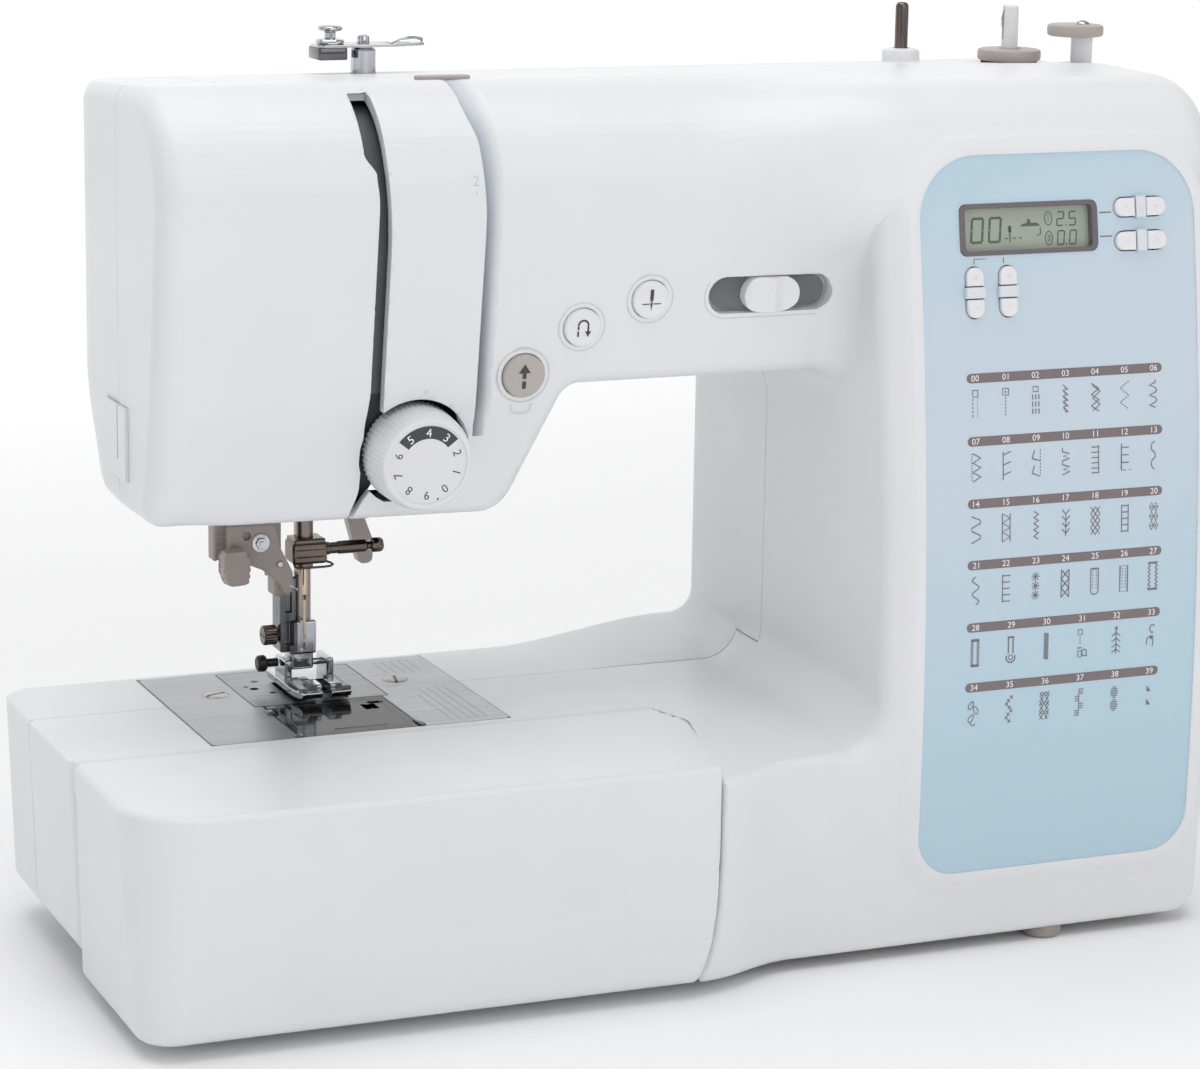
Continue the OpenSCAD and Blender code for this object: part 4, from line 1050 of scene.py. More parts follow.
def board_mat():
    m = Mat("circuit_board")
    v = m.n("ShaderNodeTexBrick")
    v.inputs["Scale"].default_value = 160.0
    v.inputs["Color1"].default_value = lin((38, 92, 62))
    v.inputs["Color2"].default_value = lin((44, 104, 70))
    v.inputs["Mortar"].default_value = lin((66, 128, 86))
    v.inputs["Mortar Size"].default_value = 0.03
    mp = m.n("ShaderNodeMapping")
    mp.inputs["Rotation"].default_value = (math.pi / 2, 0, 0)
    m.link(m.co, mp.inputs[0])
    m.link(mp.outputs[0], v.inputs["Vector"])
    m.link(v.outputs["Color"], m.b.inputs["Base Color"])
    m.link(m.range(m.noise(80.0), 0.3, 0.7, 0.35, 0.5), m.b.inputs["Roughness"])
    return m.m


def lcd_mat():
    m = Mat("lcd_glass")
    x, y, z = m.xyz()
    c = m.mix(m.range(m.noise(40.0, 2.0), 0.3, 0.7, 0, 1, True), lin((163, 173, 158)), lin((170, 180, 166)))
    m.link(c, m.b.inputs["Base Color"])
    m.link(m.range(m.noise(300.0), 0.3, 0.7, 0.16, 0.24), m.b.inputs["Roughness"])
    return m.m


def smoke_mat():
    m = Mat("smoked_cover")
    c = m.mix(m.range(m.noise(30.0, 2.0), 0.3, 0.7, 0, 1, True), lin((112, 110, 106)), lin((96, 94, 91)))
    m.link(c, m.b.inputs["Base Color"])
    m.link(m.range(m.noise(120.0, 2.0), 0.3, 0.7, 0.05, 0.1), m.b.inputs["Roughness"])
    m.b.inputs["Transmission Weight"].default_value = 0.9
    m.b.inputs["IOR"].default_value = 1.25
    return m.m


def clear_mat():
    m = Mat("clear_plastic")
    c = m.mix(m.range(m.noise(60.0, 2.0), 0.3, 0.7, 0, 1, True), lin((240, 243, 245)), lin((226, 230, 233)))
    m.link(c, m.b.inputs["Base Color"])
    m.link(m.range(m.noise(200.0, 2.0), 0.3, 0.7, 0.04, 0.09), m.b.inputs["Roughness"])
    m.b.inputs["Transmission Weight"].default_value = 0.85
    m.b.inputs["IOR"].default_value = 1.45
    return m.m


M["panel"], M["board"], M["lcd"], M["smoke"], M["clear"] = panel_mat(), board_mat(), lcd_mat(), smoke_mat(), clear_mat()
M["clear2"] = clear_mat()
M["clear2"].name = "clear_toe"

FINISH = {
    "shell": ["accessory_box", "front_shell", "rear_shell", "face_cover", "thread_cutter"],
    "base": ["base_plate"], "rubber": ["rubber_feet"], "panel": ["control_panel"], "bezel": ["lcd_window"], "board": ["main_board"],
    "steel": ["needle_plate"], "stitch": ["stitch_plate"], "chrome": ["foot_holder", "presser_foot", "top_thread_guide", "tension_discs", "takeup_lever"],
    "smoke": ["bobbin_cover"], "black": ["bobbin_case", "power_inlet", "power_switch"], "cast": ["cast_frame", "needle_bar_frame"],
    "belt": ["drive_belts"], "motor": ["drive_motor"], "taupe": ["winder_stopper", "lifter_lever"], "taupe2": ["start_button"],
    "silver": ["main_shaft", "lower_shaft", "rotary_hook", "feed_dog", "feed_bar", "motor_pulley", "connecting_link", "plate_screws"],
    "white": ["handwheel", "reverse_button", "needle_button", "speed_slider", "winder_shaft", "length_minus", "length_plus", "width_minus", "width_plus", "tens_plus", "tens_minus", "units_plus", "units_minus"],
    "dialw": ["tension_dial"], "nickel2": ["spool_pin", "needle_bar"], "nickel3": ["presser_bar"], "nickel": ["needle_clamp", "clamp_screw", "holder_screw"],
    "brass": ["needle"], "threader": ["needle_threader"], "clear": ["bobbin"], "grey": ["winder_arm"],
}
for key, names in FINISH.items():
    for nm in names:
        me = NODE[nm].data
        me.materials.clear()
        me.materials.append(M[key])

# ------------------------------------------------------------------ mouldings
def inside(x, y, z, n):
    """0 outside faces, 1 faces in the hollow, painted dark grey as the shade inside the body; 2 the dial's well and 3
    the groove, both painted shade as well
    """
    d = form(x, y, z)
    g = gradient(form, np.c_[x, y, z])
    al = (g * n).sum(1)
    k = ((d < -5.2) | ((al < -0.5) & (d < -1.2))).astype(int)
    k[(d > -8) & (y < -40) & (x > 30) & (z > 100) & (al > -0.5)] = 0
    a, b, c = DIAL.local(x, y, z)
    well = (cylf(a, b, 19.9) < 0) & (c < 0.5) & (c > -25) & (z > 83)
    # the dial's well below 0.8 mm deep takes painted shade
    k[well & (d < -0.8)] = 2
    pocket = (x > 60) & (x < 160) & (y > 20) & (z > 176)
    k[pocket] = 0
    top = (z > 206) & (d > -9) & (al > -0.5)
    k[top] = 0
    # the slope of the groove beside the cover strip, which takes the groove's painted shade
    gr = (x > 24) & (x < 38) & (y < -36) & (z > 104) & (d > -6) & (al > -0.5)
    k[gr] = 3
    return k


shell_mats = [M["shell"], M["inner"], M["slotdark"], M["groove"]]
front = field_object("front_moulding", f_front, (-106, -128, -78), (300, 12, 223), 1.5, shell_mats, inside)
rear = field_object("rear_moulding", f_rear, (-106, -15, -78), (300, 53, 223), 2.0, shell_mats, inside)
face = field_object("face_moulding", f_face, (-82, -30, 74), (-43, 53, 223), 1.6, shell_mats, inside)
tray = field_object("attachment_moulding", f_box, (-106, -128, -78), (113, -48, 3), 1.7, [M["shell"]])
for ob, body, node in ((front, "housing", "front_shell"), (rear, "housing", "rear_shell"), (face, "housing", "face_cover"), (tray, "accessory_box", "accessory_box")):
    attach(ob, body)
    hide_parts(node)


def f_under(x, y, z):
    """bottom cover with its vent slots, inside the rounded foot of the body"""
    F = np.maximum(np.maximum(T_PLAN_BOT(x, y) + 0.4, form(x, y, z) + 0.9), np.abs(z + 73.7) - 1.35)
    u = np.abs((x - 107.5) % 12.0 - 6.0) - 3.4
    v = np.abs((y + 26.0) % 30.0 - 15.0) - 9.0
    return np.maximum(F, -np.maximum(np.maximum(u, v), np.maximum(np.maximum(108 - x, x - 274), np.maximum(-26 - y, y - 34))))


under = field_object("bottom_cover", f_under, (60, -112, -77), (298, 50, -70), 2.0, [M["base"]])
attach(under, "housing")
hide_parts("base_plate")


def f_liner(x, y, z):
    """dark guide wall behind the thread slot"""
    F = np.abs(form(x, y, z) + 7.2) - 0.8
    F = np.maximum(F, np.maximum(slot_left(z) - 2.2 - x, x - slot_right(z) - 2.2))
    return np.maximum(F, np.maximum(84 - z, y + 40))


liner = field_object("slot_liner", f_liner, (-16, -86, 82), (3, -38, 218), 1.2, [M["liner"]])
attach(liner, "housing")


# ------------------------------------------------------------------ printed artwork
def panel_place(a, b, lift):
    """chart coordinates are plate x and z; the panel sheet stands 0.8 mm proud of the moulding"""
    y = front_y(b)
    k = 0.8 + lift
    t = np.arctan(0.0702 + 2 * BULGE * (b - 68.5) / 143.5 ** 2)
    return np.c_[a, y - k * np.cos(t), b + k * np.sin(t)]


def arm_place(a, b, lift):
    y = arm_y(b)
    k = math.atan(0.1415)
    return np.c_[a, y - lift * math.cos(k), b - lift * math.sin(k)]


def on(plane):
    def f(a, b, lift):
        return plane.o + np.outer(a, plane.u) + np.outer(b, plane.v) + lift * plane.n
    return f


def line(*p, w=0.36):
    """a polyline stroke; long pieces are cut so that they follow a bowed face"""
    q = [np.array(p[0], float)]
    for e in p[1:]:
        e = np.array(e, float)
        k = max(1, int(np.linalg.norm(e - q[-1]) / 6))
        s = q[-1]
        q += [s + (e - s) * i / k for i in range(1, k + 1)]
    return ribbon(q, w)


def arc(cx, cy, rx, ry, a0, a1, w=0.36, n=12):
    t = np.radians(np.linspace(a0, a1, n + 1))
    return ribbon(np.c_[cx + rx * np.cos(t), cy + ry * np.sin(t)], w)


def dashes(p, q, n, duty=0.55, w=0.36):
    p, q = np.array(p, float), np.array(q, float)
    return [ribbon([p + (q - p) * (i / n), p + (q - p) * ((i + duty) / n)], w) for i in range(n)]


def zig(x0, x1, y0, y1, n, w=0.36, start=0):
    ys = np.linspace(y1, y0, n + 1)
    return [line(*[((x0, x1)[(i + start) % 2], y) for i, y in enumerate(ys)], w=w)]


def box2(x0, x1, y0, y1, w=0.36):
    return [line((x0, y0), (x1, y0), (x1, y1), (x0, y1), (x0, y0), w=w)]


def star(cx, cy, r, n=4, w=0.3):
    out = []
    for i in range(n):
        a = math.pi * i / n
        out.append(line((cx - r * math.cos(a), cy - r * math.sin(a)), (cx + r * math.cos(a), cy + r * math.sin(a)), w=w))
    return out


def leaf(cx, cy, rx, ry, ang, w=0.32):
    t = np.linspace(0, 2 * math.pi, 17)
    P = np.c_[rx * np.cos(t), ry * np.sin(t) * (1 - 0.25 * np.cos(t))]
    c, s = math.cos(math.radians(ang)), math.sin(math.radians(ang))
    return [ribbon(P @ np.array([[c, s], [-s, c]]) + [cx, cy], w)]


def stitch(k):
    """a plain diagram of a sewing stitch, 3.6 mm wide and 9.6 mm high, about its own centre"""
    H, L = 4.8, 1.8
    L_ = line
    if k == 0:
        return box2(-1.0, 1.0, 2.6, 4.8, 0.3) + dashes((-1.0, 2.0), (-1.0, -4.8), 5) + dashes((0.8, 2.0), (0.8, -4.8), 9, 0.3)
    if k == 1:
        return box2(-1.1, 1.1, 2.6, 4.8, 0.3) + [disc2((0, 3.7), 0.35, 8)] + dashes((0, 2.0), (0, -4.8), 6)
    if k == 2:
        o = box2(-1.0, 1.0, 3.2, 4.8, 0.3)
        for y in (2.2, -0.2, -2.6):
            for x in (-1.2, 0, 1.2):
                o += [L_((x, y), (x, y - 1.7), w=0.42)]
        return o
    if k == 3:
        P = []
        y = 4.8
        while y > -4.0:
            P += [(-0.9, y), (0.9, y - 1.6), (-0.4, y - 1.5)]
            y -= 1.9
        return [L_(*P, w=0.34)]
    if k == 4:
        return zig(-1.5, 1.5, -4.8, 4.8, 5) + zig(-1.0, 1.9, -4.6, 4.0, 4, 0.3)
    if k == 5:
        o, s = [], 1
        ys = np.linspace(4.8, -4.8, 5)
        for i in range(4):
            a, b = (1.7 * s, ys[i]), (-1.7 * s, ys[i + 1])
            o += dashes(a, b, 4, 0.5, 0.4)
            s = -s
        return o
    if k == 6:
        P = [(0.6, 4.8), (0.6, 3.8), (-1.7, 2.9), (0.6, 2.0), (1.2, 1.2), (0.6, 0.4), (-1.7, -0.5), (0.6, -1.4), (1.2, -2.2), (0.6, -3.0), (-1.7, -3.9), (0.6, -4.8)]
        return [L_(*P)]
    if k == 7:
        return zig(-1.2, 1.8, -4.8, 4.8, 6) + dashes((-1.6, 4.8), (-1.6, -4.8), 10, 0.5)
    if k == 8:
        return [L_((-1.2, 4.8), (-1.2, -4.8))] + [L_((-1.2, y), (1.8, y + 1.1)) for y in (3.6, 0.2, -3.2)]
    if k == 9:
        return [L_((-0.6, 4.6), (-1.6, 1.8), (1.4, 0.9)), L_((-0.6, -0.6), (-1.6, -3.2), (1.4, -4.4))] + dashes((1.6, 4.8), (1.6, -4.4), 8, 0.5)
    if k == 10:
        o = [L_((-1.4, 4.8), (-1.4, 3.4), (1.4, 2.6), (-1.0, 1.8), (1.4, 1.0), (-1.4, 0.2), (-1.4, -1.0), (1.4, -1.9), (-1.0, -2.7), (1.4, -3.5), (-1.4, -4.6))]
        return o
    if k == 11:
        return [L_((1.2, 4.8), (1.2, -4.8))] + [L_((1.2, y), (-1.6, y)) for y in (4.2, 2.4, 0.6, -1.2, -3.0, -4.6)]
    if k == 12:
        return [L_((-1.4, 4.8), (-1.4, -4.4), (0.4, -4.4))] + [L_((-1.4, y), (1.6, y)) for y in (3.4, 0.8, -1.8)] + dashes((1.6, -4.4), (2.6, -4.4), 2)
    if k == 13:
        return [arc(0.6, 2.9, 1.7, 1.9, 100, 250), arc(-1.0, 0.0, 1.5, 1.5, 60, -60), arc(0.6, -2.9, 1.7, 1.9, 110, 260)]
    if k == 14:
        return [L_((-1.8, 4.6), (1.6, 3.2), (1.7, 2.2), (-1.7, 0.6), (-1.7, -0.4), (1.7, -2.0), (1.7, -3.0), (-1.8, -4.6))]
    if k == 15:
        return [L_((-1.5, 4.8), (-1.5, -4.8)), L_((1.5, 4.8), (1.5, -4.8))] + zig(-1.5, 1.5, -4.8, 4.8, 6, 0.3)
    if k == 16:
        return zig(-0.9, 0.9, -4.8, 4.8, 9)
    if k == 17:
        return [L_((-1.5, y), (0, y - 1.6), (1.5, y)) for y in (4.6, 2.4, 0.2, -2.0)] + [L_((0, 3.2), (0, -4.6), w=0.3)]
    if k == 18:
        o = []
        for y in (3.6, 1.2, -1.2, -3.6):
            for x in (-0.9, 0.9):
                o += [L_((x - 0.9, y - 1.2), (x + 0.9, y + 1.2), w=0.3), L_((x - 0.9, y + 1.2), (x + 0.9, y - 1.2), w=0.3)]
        return o
    if k == 19:
        return [L_((-1.2, 4.8), (-1.2, -4.8)), L_((1.4, 4.8), (1.4, -4.8))] + [L_((-1.2, y), (1.4, y)) for y in (4.4, 2.2, 0, -2.2, -4.4)]
    if k == 20:
        o = []
        for y in (3.2, 0.0, -3.2):
            for x in (-0.85, 0.85):
                o += [L_((x, y + 1.5), (x + 0.8, y), (x, y - 1.5), (x - 0.8, y), (x, y + 1.5), w=0.28), L_((x - 0.4, y), (x + 0.4, y), w=0.28)]
        return o
    if k == 21:
        y = np.linspace(4.8, -4.8, 33)
        return [ribbon(np.c_[1.3 * np.sin((y - 4.8) * 1.3), y], 0.36)]
    if k == 22:
        return [L_((-1.2, 4.8), (-1.2, -4.8))] + [L_((-1.2, y), (1.7, y)) for y in (4.4, 2.2, 0.0, -2.2, -4.4)]
    if k == 23:
        return star(0, 3.2, 1.6) + star(0, 0, 1.6) + star(0, -3.2, 1.6)
    if k == 24:
        o = [L_((-1.5, 4.8), (-1.5, -4.8)), L_((1.5, 4.8), (1.5, -4.8))]
        for y in (3.2, 0, -3.2):
            o += [L_((-1.5, y - 1.6), (1.5, y + 1.6), w=0.4), L_((-1.5, y + 1.6), (1.5, y - 1.6), w=0.4)]
        return o
    if k == 25:
        return [L_((-1.5, 4.2), (-1.5, -3.4)), arc(0, -3.4, 1.5, 1.3, 180, 360), L_((1.5, -3.4), (1.5, 4.2)), L_((-1.5, 4.2), (1.5, 4.2), w=0.6)] + dashes((-0.7, 3.4), (-0.7, -3.2), 6, 0.5, 0.3) + dashes((0.7, 3.4), (0.7, -3.2), 6, 0.5, 0.3)
    if k == 26:
        return box2(-1.5, 1.5, -4.6, 4.4) + dashes((-0.6, 3.6), (-0.6, -3.8), 7, 0.5, 0.3) + dashes((0.6, 3.6), (0.6, -3.8), 7, 0.5, 0.3)
    if k == 27:
        return zig(-1.9, -0.9, -4.2, 4.2, 12, 0.3) + zig(0.9, 1.9, -4.2, 4.2, 12, 0.3) + [L_((-1.9, 4.6), (1.9, 4.6), w=0.7), L_((-1.9, -4.6), (1.9, -4.6), w=0.7)]
    if k == 28:
        return zig(-1.6, -0.7, -4.2, 4.2, 18, 0.34) + zig(0.7, 1.6, -4.2, 4.2, 18, 0.34) + [L_((-1.6, 4.4), (1.6, 4.4), w=0.9), L_((-1.6, -4.4), (1.6, -4.4), w=0.9)]
    if k == 29:
        return [arc(0, -2.6, 1.7, 1.8, -200, 20, 0.5), L_((-0.9, -1.2), (-0.9, 4.4), w=0.5), L_((0.9, -1.2), (0.9, 4.4), w=0.5), L_((-1.3, 4.4), (1.3, 4.4), w=0.6)] + [arc(0, -2.6, 0.8, 0.9, -180, 180, 0.3)]
    if k == 30:
        return [L_((-0.9, 4.6 - 0.62 * i), (0.9, 4.3 - 0.62 * i), w=0.46) for i in range(15)]
    if k == 31:
        return box2(-1.3, 0.3, 3.0, 4.8, 0.3) + dashes((-0.5, 2.4), (-0.5, -0.6), 3) + [arc(1.3, -3.4, 0.9, 1.2, 0, 360, 0.34)] + [L_((-1.6, -1.6), (0.2, -1.6)), L_((1.9, -4.0), (2.4, -4.8))] + box2(-1.2, 0.2, -4.8, -2.6, 0.3)
    if k == 32:
        o = [L_((0, 3.6), (0, -4.8), w=0.4)]
        for y in (2.6, 0.6, -1.4, -3.2):
            o += [L_((0, y), (-1.7, y - 1.2), w=0.34), L_((0, y), (1.7, y - 1.2), w=0.34)]
        return o + [disc2((0, 4.2), 0.6, 10)]
    if k == 33:
        return [arc(0.6, 2.9, 1.0, 1.4, 30, 300), arc(-0.3, -2.0, 1.3, 2.1, -40, 200)] + star(0.4, -0.2, 0.9, 3)
    if k == 34:
        return leaf(-0.9, 2.6, 1.5, 0.75, 60) + leaf(0.9, 0.8, 1.5, 0.75, 115) + leaf(-0.8, -2.0, 1.5, 0.75, 55) + [arc(0, -3.4, 1.0, 1.2, 180, 330)]
    if k == 35:
        o = []
        for i, y in enumerate(np.linspace(4.2, -4.2, 8)):
            x = (0.9, -0.2, -0.9, 0.2)[i % 4]
            o += [L_((x - 0.55, y - 0.55), (x + 0.55, y + 0.55), w=0.3), L_((x - 0.55, y + 0.55), (x + 0.55, y - 0.55), w=0.3)]
        return o
    if k == 36:
        o = []
        for i, y in enumerate(np.linspace(4.1, -4.1, 6)):
            for x in (-1.0, 1.0) if i % 2 else (-1.3, 0, 1.3):
                o += [L_((x - 0.6, y - 0.75), (x + 0.6, y + 0.75), w=0.3), L_((x - 0.6, y + 0.75), (x + 0.6, y - 0.75), w=0.3)]
        return o
    if k == 37:
        o = []
        for i, y in enumerate((3.8, 1.3, -1.3, -3.8)):
            x = 0.6 if i % 2 == 0 else -0.9
            o += [L_((x - 0.9, y + d), (x + 0.9, y + d), w=0.32) for d in (0.8, 0, -0.8)]
        return o + [L_((-0.2, 4.8), (-0.2, -4.8), w=0.26)]
    if k == 38:
        o = []
        for y in (2.3, -2.3):
            for i in range(7):
                d = (i - 3) * 0.62
                wd = 1.5 * math.sqrt(max(0.05, 1 - (d / 2.1) ** 2))
                o += [L_((-wd, y + d), (wd, y + d), w=0.3)]
        return o
    return [poly2([(-0.8, 3.6), (0.9, 1.4), (-0.8, 1.4)]), poly2([(-0.8, -1.2), (0.9, -3.4), (-0.8, -3.4)])]


def chart():
    bars, nums, syms = [], [], []
    rows = [(120.7, 7), (99.5, 7), (78.4, 7), (57.5, 7), (36.0, 6), (15.15, 6)]
    k = 0
    for ri, (z, n) in enumerate(rows):
        w = 3.2
        x0, x1 = 192.1, 268.2
        P = pill(x1 - x0, w, 8) + [(x0 + x1) / 2, z]
        bars.append(poly2(P))
        for i in range(n):
            x = 195.3 + 11.6 * i if n == 7 else 195.5 + 13.85 * i
            nums.append(glyphs("%02d" % k, 2.05, x, z, squeeze=1.05))
            syms += [move2(s, x, z - 8.8) for s in stitch(k)]
            k += 1
    printed("chart_bars", bars, panel_place, M["inkb"], lift=0.05)
    printed("chart_numbers", nums, panel_place, M["inkw"], lift=0.09)
    printed("chart_stitches", syms, panel_place, M["inks"], lift=0.05)
    lead = [line((244.6, 173.9), (249.9, 173.9), w=0.4), line((244.6, 165.9), (249.9, 165.9), w=0.4),
            line((200.5, 160.3), (196.2, 160.3), (196.2, 158.6), w=0.4), line((207.4, 160.3), (207.4, 158.6), w=0.4)]
    printed("chart_leaders", lead, panel_place, M["inks"], lift=0.05)


chart()

# ------------------------------------------------------------------ display
SEG = {"0": "abcdef", "2": "abged", "5": "afgcd"}


def seven(ch, x, z, w, h, t, outline=False):
    """one seven-bar digit with its lower left corner at (x, z)"""
    q = {"a": [(0, h), (w, h)], "b": [(w, h), (w, h / 2)], "c": [(w, h / 2), (w, 0)], "d": [(0, 0), (w, 0)],
         "e": [(0, h / 2), (0, 0)], "f": [(0, h), (0, h / 2)], "g": [(0, h / 2), (w, h / 2)]}
    out = []
    lean = 0.1
    for s in SEG[ch]:
        (a, b), (c, d) = q[s]
        g = 0.12
        if a == c:
            b, d = b - g, d + g
        else:
            a, c = a + g, c - g
        p0, p1 = (x + a + lean * b, z + b), (x + c + lean * d, z + d)
        out.append(line(p0, p1, w=t))
    return out


def display():
    pl = on_panel(*LCD)
    cx, cz = LCD
    gl_lo, gl_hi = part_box("lcd_window")
    # recessed glass in a stepped frame
    fr = []
    W2, H2 = 26.6, 8.6
    outer = rpoly([(-W2, -H2, 2.3), (W2, -H2, 2.3), (W2, H2, 2.3), (-W2, H2, 2.3)], 5)
    inner = rpoly([(-W2 + 2.2, -H2 + 1.5, 0.8), (W2 - 2.2, -H2 + 1.5, 0.8), (W2 - 2.2, H2 - 1.5, 0.8), (-W2 + 2.2, H2 - 1.5, 0.8)], 5)
    n = len(outer)
    lev = [(outer, -0.6), (outer, 0.75), (outer * 0.992, 0.95), (inner * 1.01, 0.95), (inner, 0.75), (inner, -1.7)]
    V, F = [], []
    for P, h in lev:
        V += [(p[0], p[1], h) for p in P]
    for l in range(len(lev) - 1):
        for i in range(n):
            j = (i + 1) % n
            F.append((l * n + i, l * n + j, (l + 1) * n + j, (l + 1) * n + i))
    V, F = placed((np.array(V), F), pl)
    ob = mesh_object("display_frame", V, F, M["bezel"], angle=30)
    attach(ob, "housing")
    # panel blue carried round the frame's rounded corners
    ring = []
    for e, r, h in ((0.95, 2.6, -0.1), (0.85, 2.5, 0.13), (-0.02, 2.3, 0.13), (-0.02, 2.3, -0.7)):
        P = rpoly([(-W2 - e, -H2 - e, r), (W2 + e, -H2 - e, r), (W2 + e, H2 + e, r), (-W2 - e, H2 + e, r)], 5)
        ring.append(panel_place(P[:, 0] + cx, P[:, 1] + cz, h))
    F = []
    for l in range(3):
        for i in range(n):
            j = (i + 1) % n
            F.append((l * n + i, l * n + j, (l + 1) * n + j, (l + 1) * n + i))
    ob = mesh_object("display_surround", np.vstack(ring), F, M["panel"], angle=30)
    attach(ob, "housing")
    # the liquid crystal sheet, lying in the frame
    P = inner * 1.02
    V, F = placed(prism(P, -1.9, -1.55, 0.05, 1), pl)
    ob = mesh_object("display_glass", V, F, M["lcd"], angle=30)
    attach(ob, "housing")

    def lcd_place(a, b, lift):
        return pl.o + np.outer(a - cx, pl.u) + np.outer(b - cz, pl.v) + (-1.53 + lift) * pl.n
    s = []
    s += seven("0", 196.6, 165.6, 4.2, 8.0, 0.85) + seven("0", 203.4, 165.6, 4.2, 8.0, 0.85)
    # dashes and needle mark
    s += [line((211.6, 170.6), (211.6, 165.4), w=0.5), poly2([(211.0, 170.8), (212.2, 170.8), (212.2, 168.6), (211.0, 168.6)]), line((209.6, 166.6), (210.8, 166.6), w=0.4), line((212.6, 166.6), (213.8, 166.6), w=0.4), line((215, 166.6), (216.2, 166.6), w=0.4)]
    # presser foot mark
    s += [poly2([(215.6, 170.4), (223.4, 170.4), (222.2, 171.5), (219.8, 171.5), (219.4, 172.8), (218.4, 172.8), (218.2, 171.5), (216.4, 171.2)])]
    s += [line((223.4, 169.8), (223.4, 167.6), (222.0, 167.2), w=0.4)]
    for zc in (172.8, 166.1):
        t = np.linspace(0, 2 * math.pi, 21)
        s += [ribbon(np.c_[226.6 + 1.4 * np.cos(t), zc + 2.3 * np.sin(t)], 0.35)]
    s += dashes((226.6, 174.3), (226.6, 171.3), 3) + zig(226.1, 227.2, 164.9, 167.4, 4, 0.3)
    for t2, z in (("25", 170.2), ("00", 163.8)):
        s += seven(t2[0], 229.8, z, 2.5, 4.6, 0.5) + [disc2((233.4, z), 0.3, 8)] + seven(t2[1], 234.5, z, 2.5, 4.6, 0.5)
    ob = printed("display_segments", s, lcd_place, M["lcdink"], lift=0.03)


display()


# ------------------------------------------------------------------ controls
def small(name, F, lo, hi, h, mat, body, node=(), mats=None, pick=None):
    """a small moulded piece from its own field, in plate millimetres"""
    ob = field_object(name, F, lo, hi, h, mats or [mat], pick)
    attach(ob, body)
    if node:
        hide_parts(*([node] if isinstance(node, str) else node))
    return ob


def solid(name, parts, mat, body, node=(), slot=None, angle=35.0):
    V, F = join_parts(parts)
    ob = mesh_object(name, V, F, mat, angle=angle)
    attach(ob, body)
    if node:
        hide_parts(*([node] if isinstance(node, str) else node))
    return ob


def ring2(c, r, w, n=48):
    t = np.linspace(0, 2 * math.pi, n + 1)
    return ribbon(np.c_[c[0] + r * np.cos(t), c[1] + r * np.sin(t)], w)


# round buttons with softly rolled rims
for nm, (bx_, bz_), rad, mt, body, sl in (("start", START, 7.3, "taupe2", "start_button", "taupe"), ("reverse", REVERSE, 6.4, "white", "reverse_button", "white"), ("needle", NEEDLEB, 6.4, "white", "needle_button", "white")):
    pl = on_arm(bx_, bz_)
    prof = [(0, 1.45), (rad * 0.55, 1.5), (rad - 1.3, 1.68), (rad - 0.75, 1.78), (rad - 0.4, 1.7), (rad - 0.12, 1.45), (rad, 1.05), (rad, -6.0), (rad + 1.4, -6.0), (rad + 1.4, -7.4), (0, -7.4)]
    solid(nm + "_cap", [placed(lathe(prof, 64, False), pl)], M[mt], body, body, sl, angle=50)
    # the rolled lip of the opening round the button
    lip = [(rad + 0.24, -2.6), (rad + 0.24, 0.0), (rad + 0.42, 0.16), (rad + 1.25, 0.18), (rad + 1.6, 0.06), (rad + 1.6, -0.9), (rad + 1.3, -2.6)]
    solid(nm + "_lip", [placed(lathe(lip + [lip[0]], 64, False), pl)], M["shell"], "housing", (), "shell", angle=40)

icons = {
    "start": [poly2([(0, 4.2), (2.1, 1.1), (0.68, 1.1), (0.68, -0.8), (-0.68, -0.8), (-0.68, 1.1), (-2.1, 1.1)]), poly2([(-0.68, -1.7), (0.68, -1.7), (0.68, -4.2), (-0.68, -4.2)])],
    "reverse": [arc(0, 0.9, 1.75, 1.75, 0, 180, 0.62, 14), line((-1.75, 0.7), (-1.75, -0.5), w=0.62), line((-1.75, -1.0), (-1.75, -2.9), w=0.62), line((1.75, 0.8), (1.75, -1.2), w=0.62), poly2([(0.65, -1.1), (2.85, -1.1), (1.75, -3.1)])],
    "needle": [line((-3.4, -1.3), (-0.75, -1.3), w=0.34), line((0.75, -1.3), (3.4, -1.3), w=0.34), poly2([(-0.62, 3.7), (0.62, 3.7), (0.62, 0.2), (-0.62, 0.2)]), poly2([(-0.5, 0.3), (0.5, 0.3), (0.36, -1.6), (0.0, -3.6), (-0.36, -1.6)])],
}
for nm, (bx_, bz_), mt in (("start", START, "ink"), ("reverse", REVERSE, "ink"), ("needle", NEEDLEB, "ink")):
    pl = on_arm(bx_, bz_)
    printed(nm + "_mark", icons[nm], on(pl), M["ink"], nm + "_button", lift=1.58)
    printed(nm + "_eye", [disc2((0, -0.6), 0.26, 10)], on(pl), M["white"], nm + "_button", lift=1.64) if nm == "needle" else None
    r0 = {"start": 9.3, "reverse": 8.2, "needle": 8.2}[nm]
    printed(nm + "_ring", [ring2((0, 0), r0, 0.42)], on(pl), M["emb"], lift=0.06)
pl = on_arm(*START)
printed("start_tab", [line((-3.6, -9.9), (-3.4, -12.2), (-2.2, -13.2), (2.2, -13.2), (3.4, -12.2), (3.6, -9.9), w=0.3)], on(pl), M["emb"], lift=0.06)

# speed marks over the slider
tri = [(-1.15, 1.15), (1.15, 0), (-1.15, -1.15)]


def marks(cx, cz, n, gap):
    return [poly2([(cx + (i - (n - 1) / 2) * gap + a, cz + b) for a, b in tri]) for i in range(n)]


printed("speed_marks", marks(121.9, 158.3, 1, 2.3) + marks(133.8, 158.1, 2, 2.35) + marks(146.0, 158.0, 3, 2.35), arm_place, M["ink"], lift=0.06)
pl = on_arm(*SLIDER)
t = np.linspace(0, 2 * math.pi, 49)
P = pill(48.4, 15.9, 14)
printed("slider_ring", [ribbon(np.vstack([P, P[:1]]), 0.42)], on(pl), M["emb"], lift=0.06)


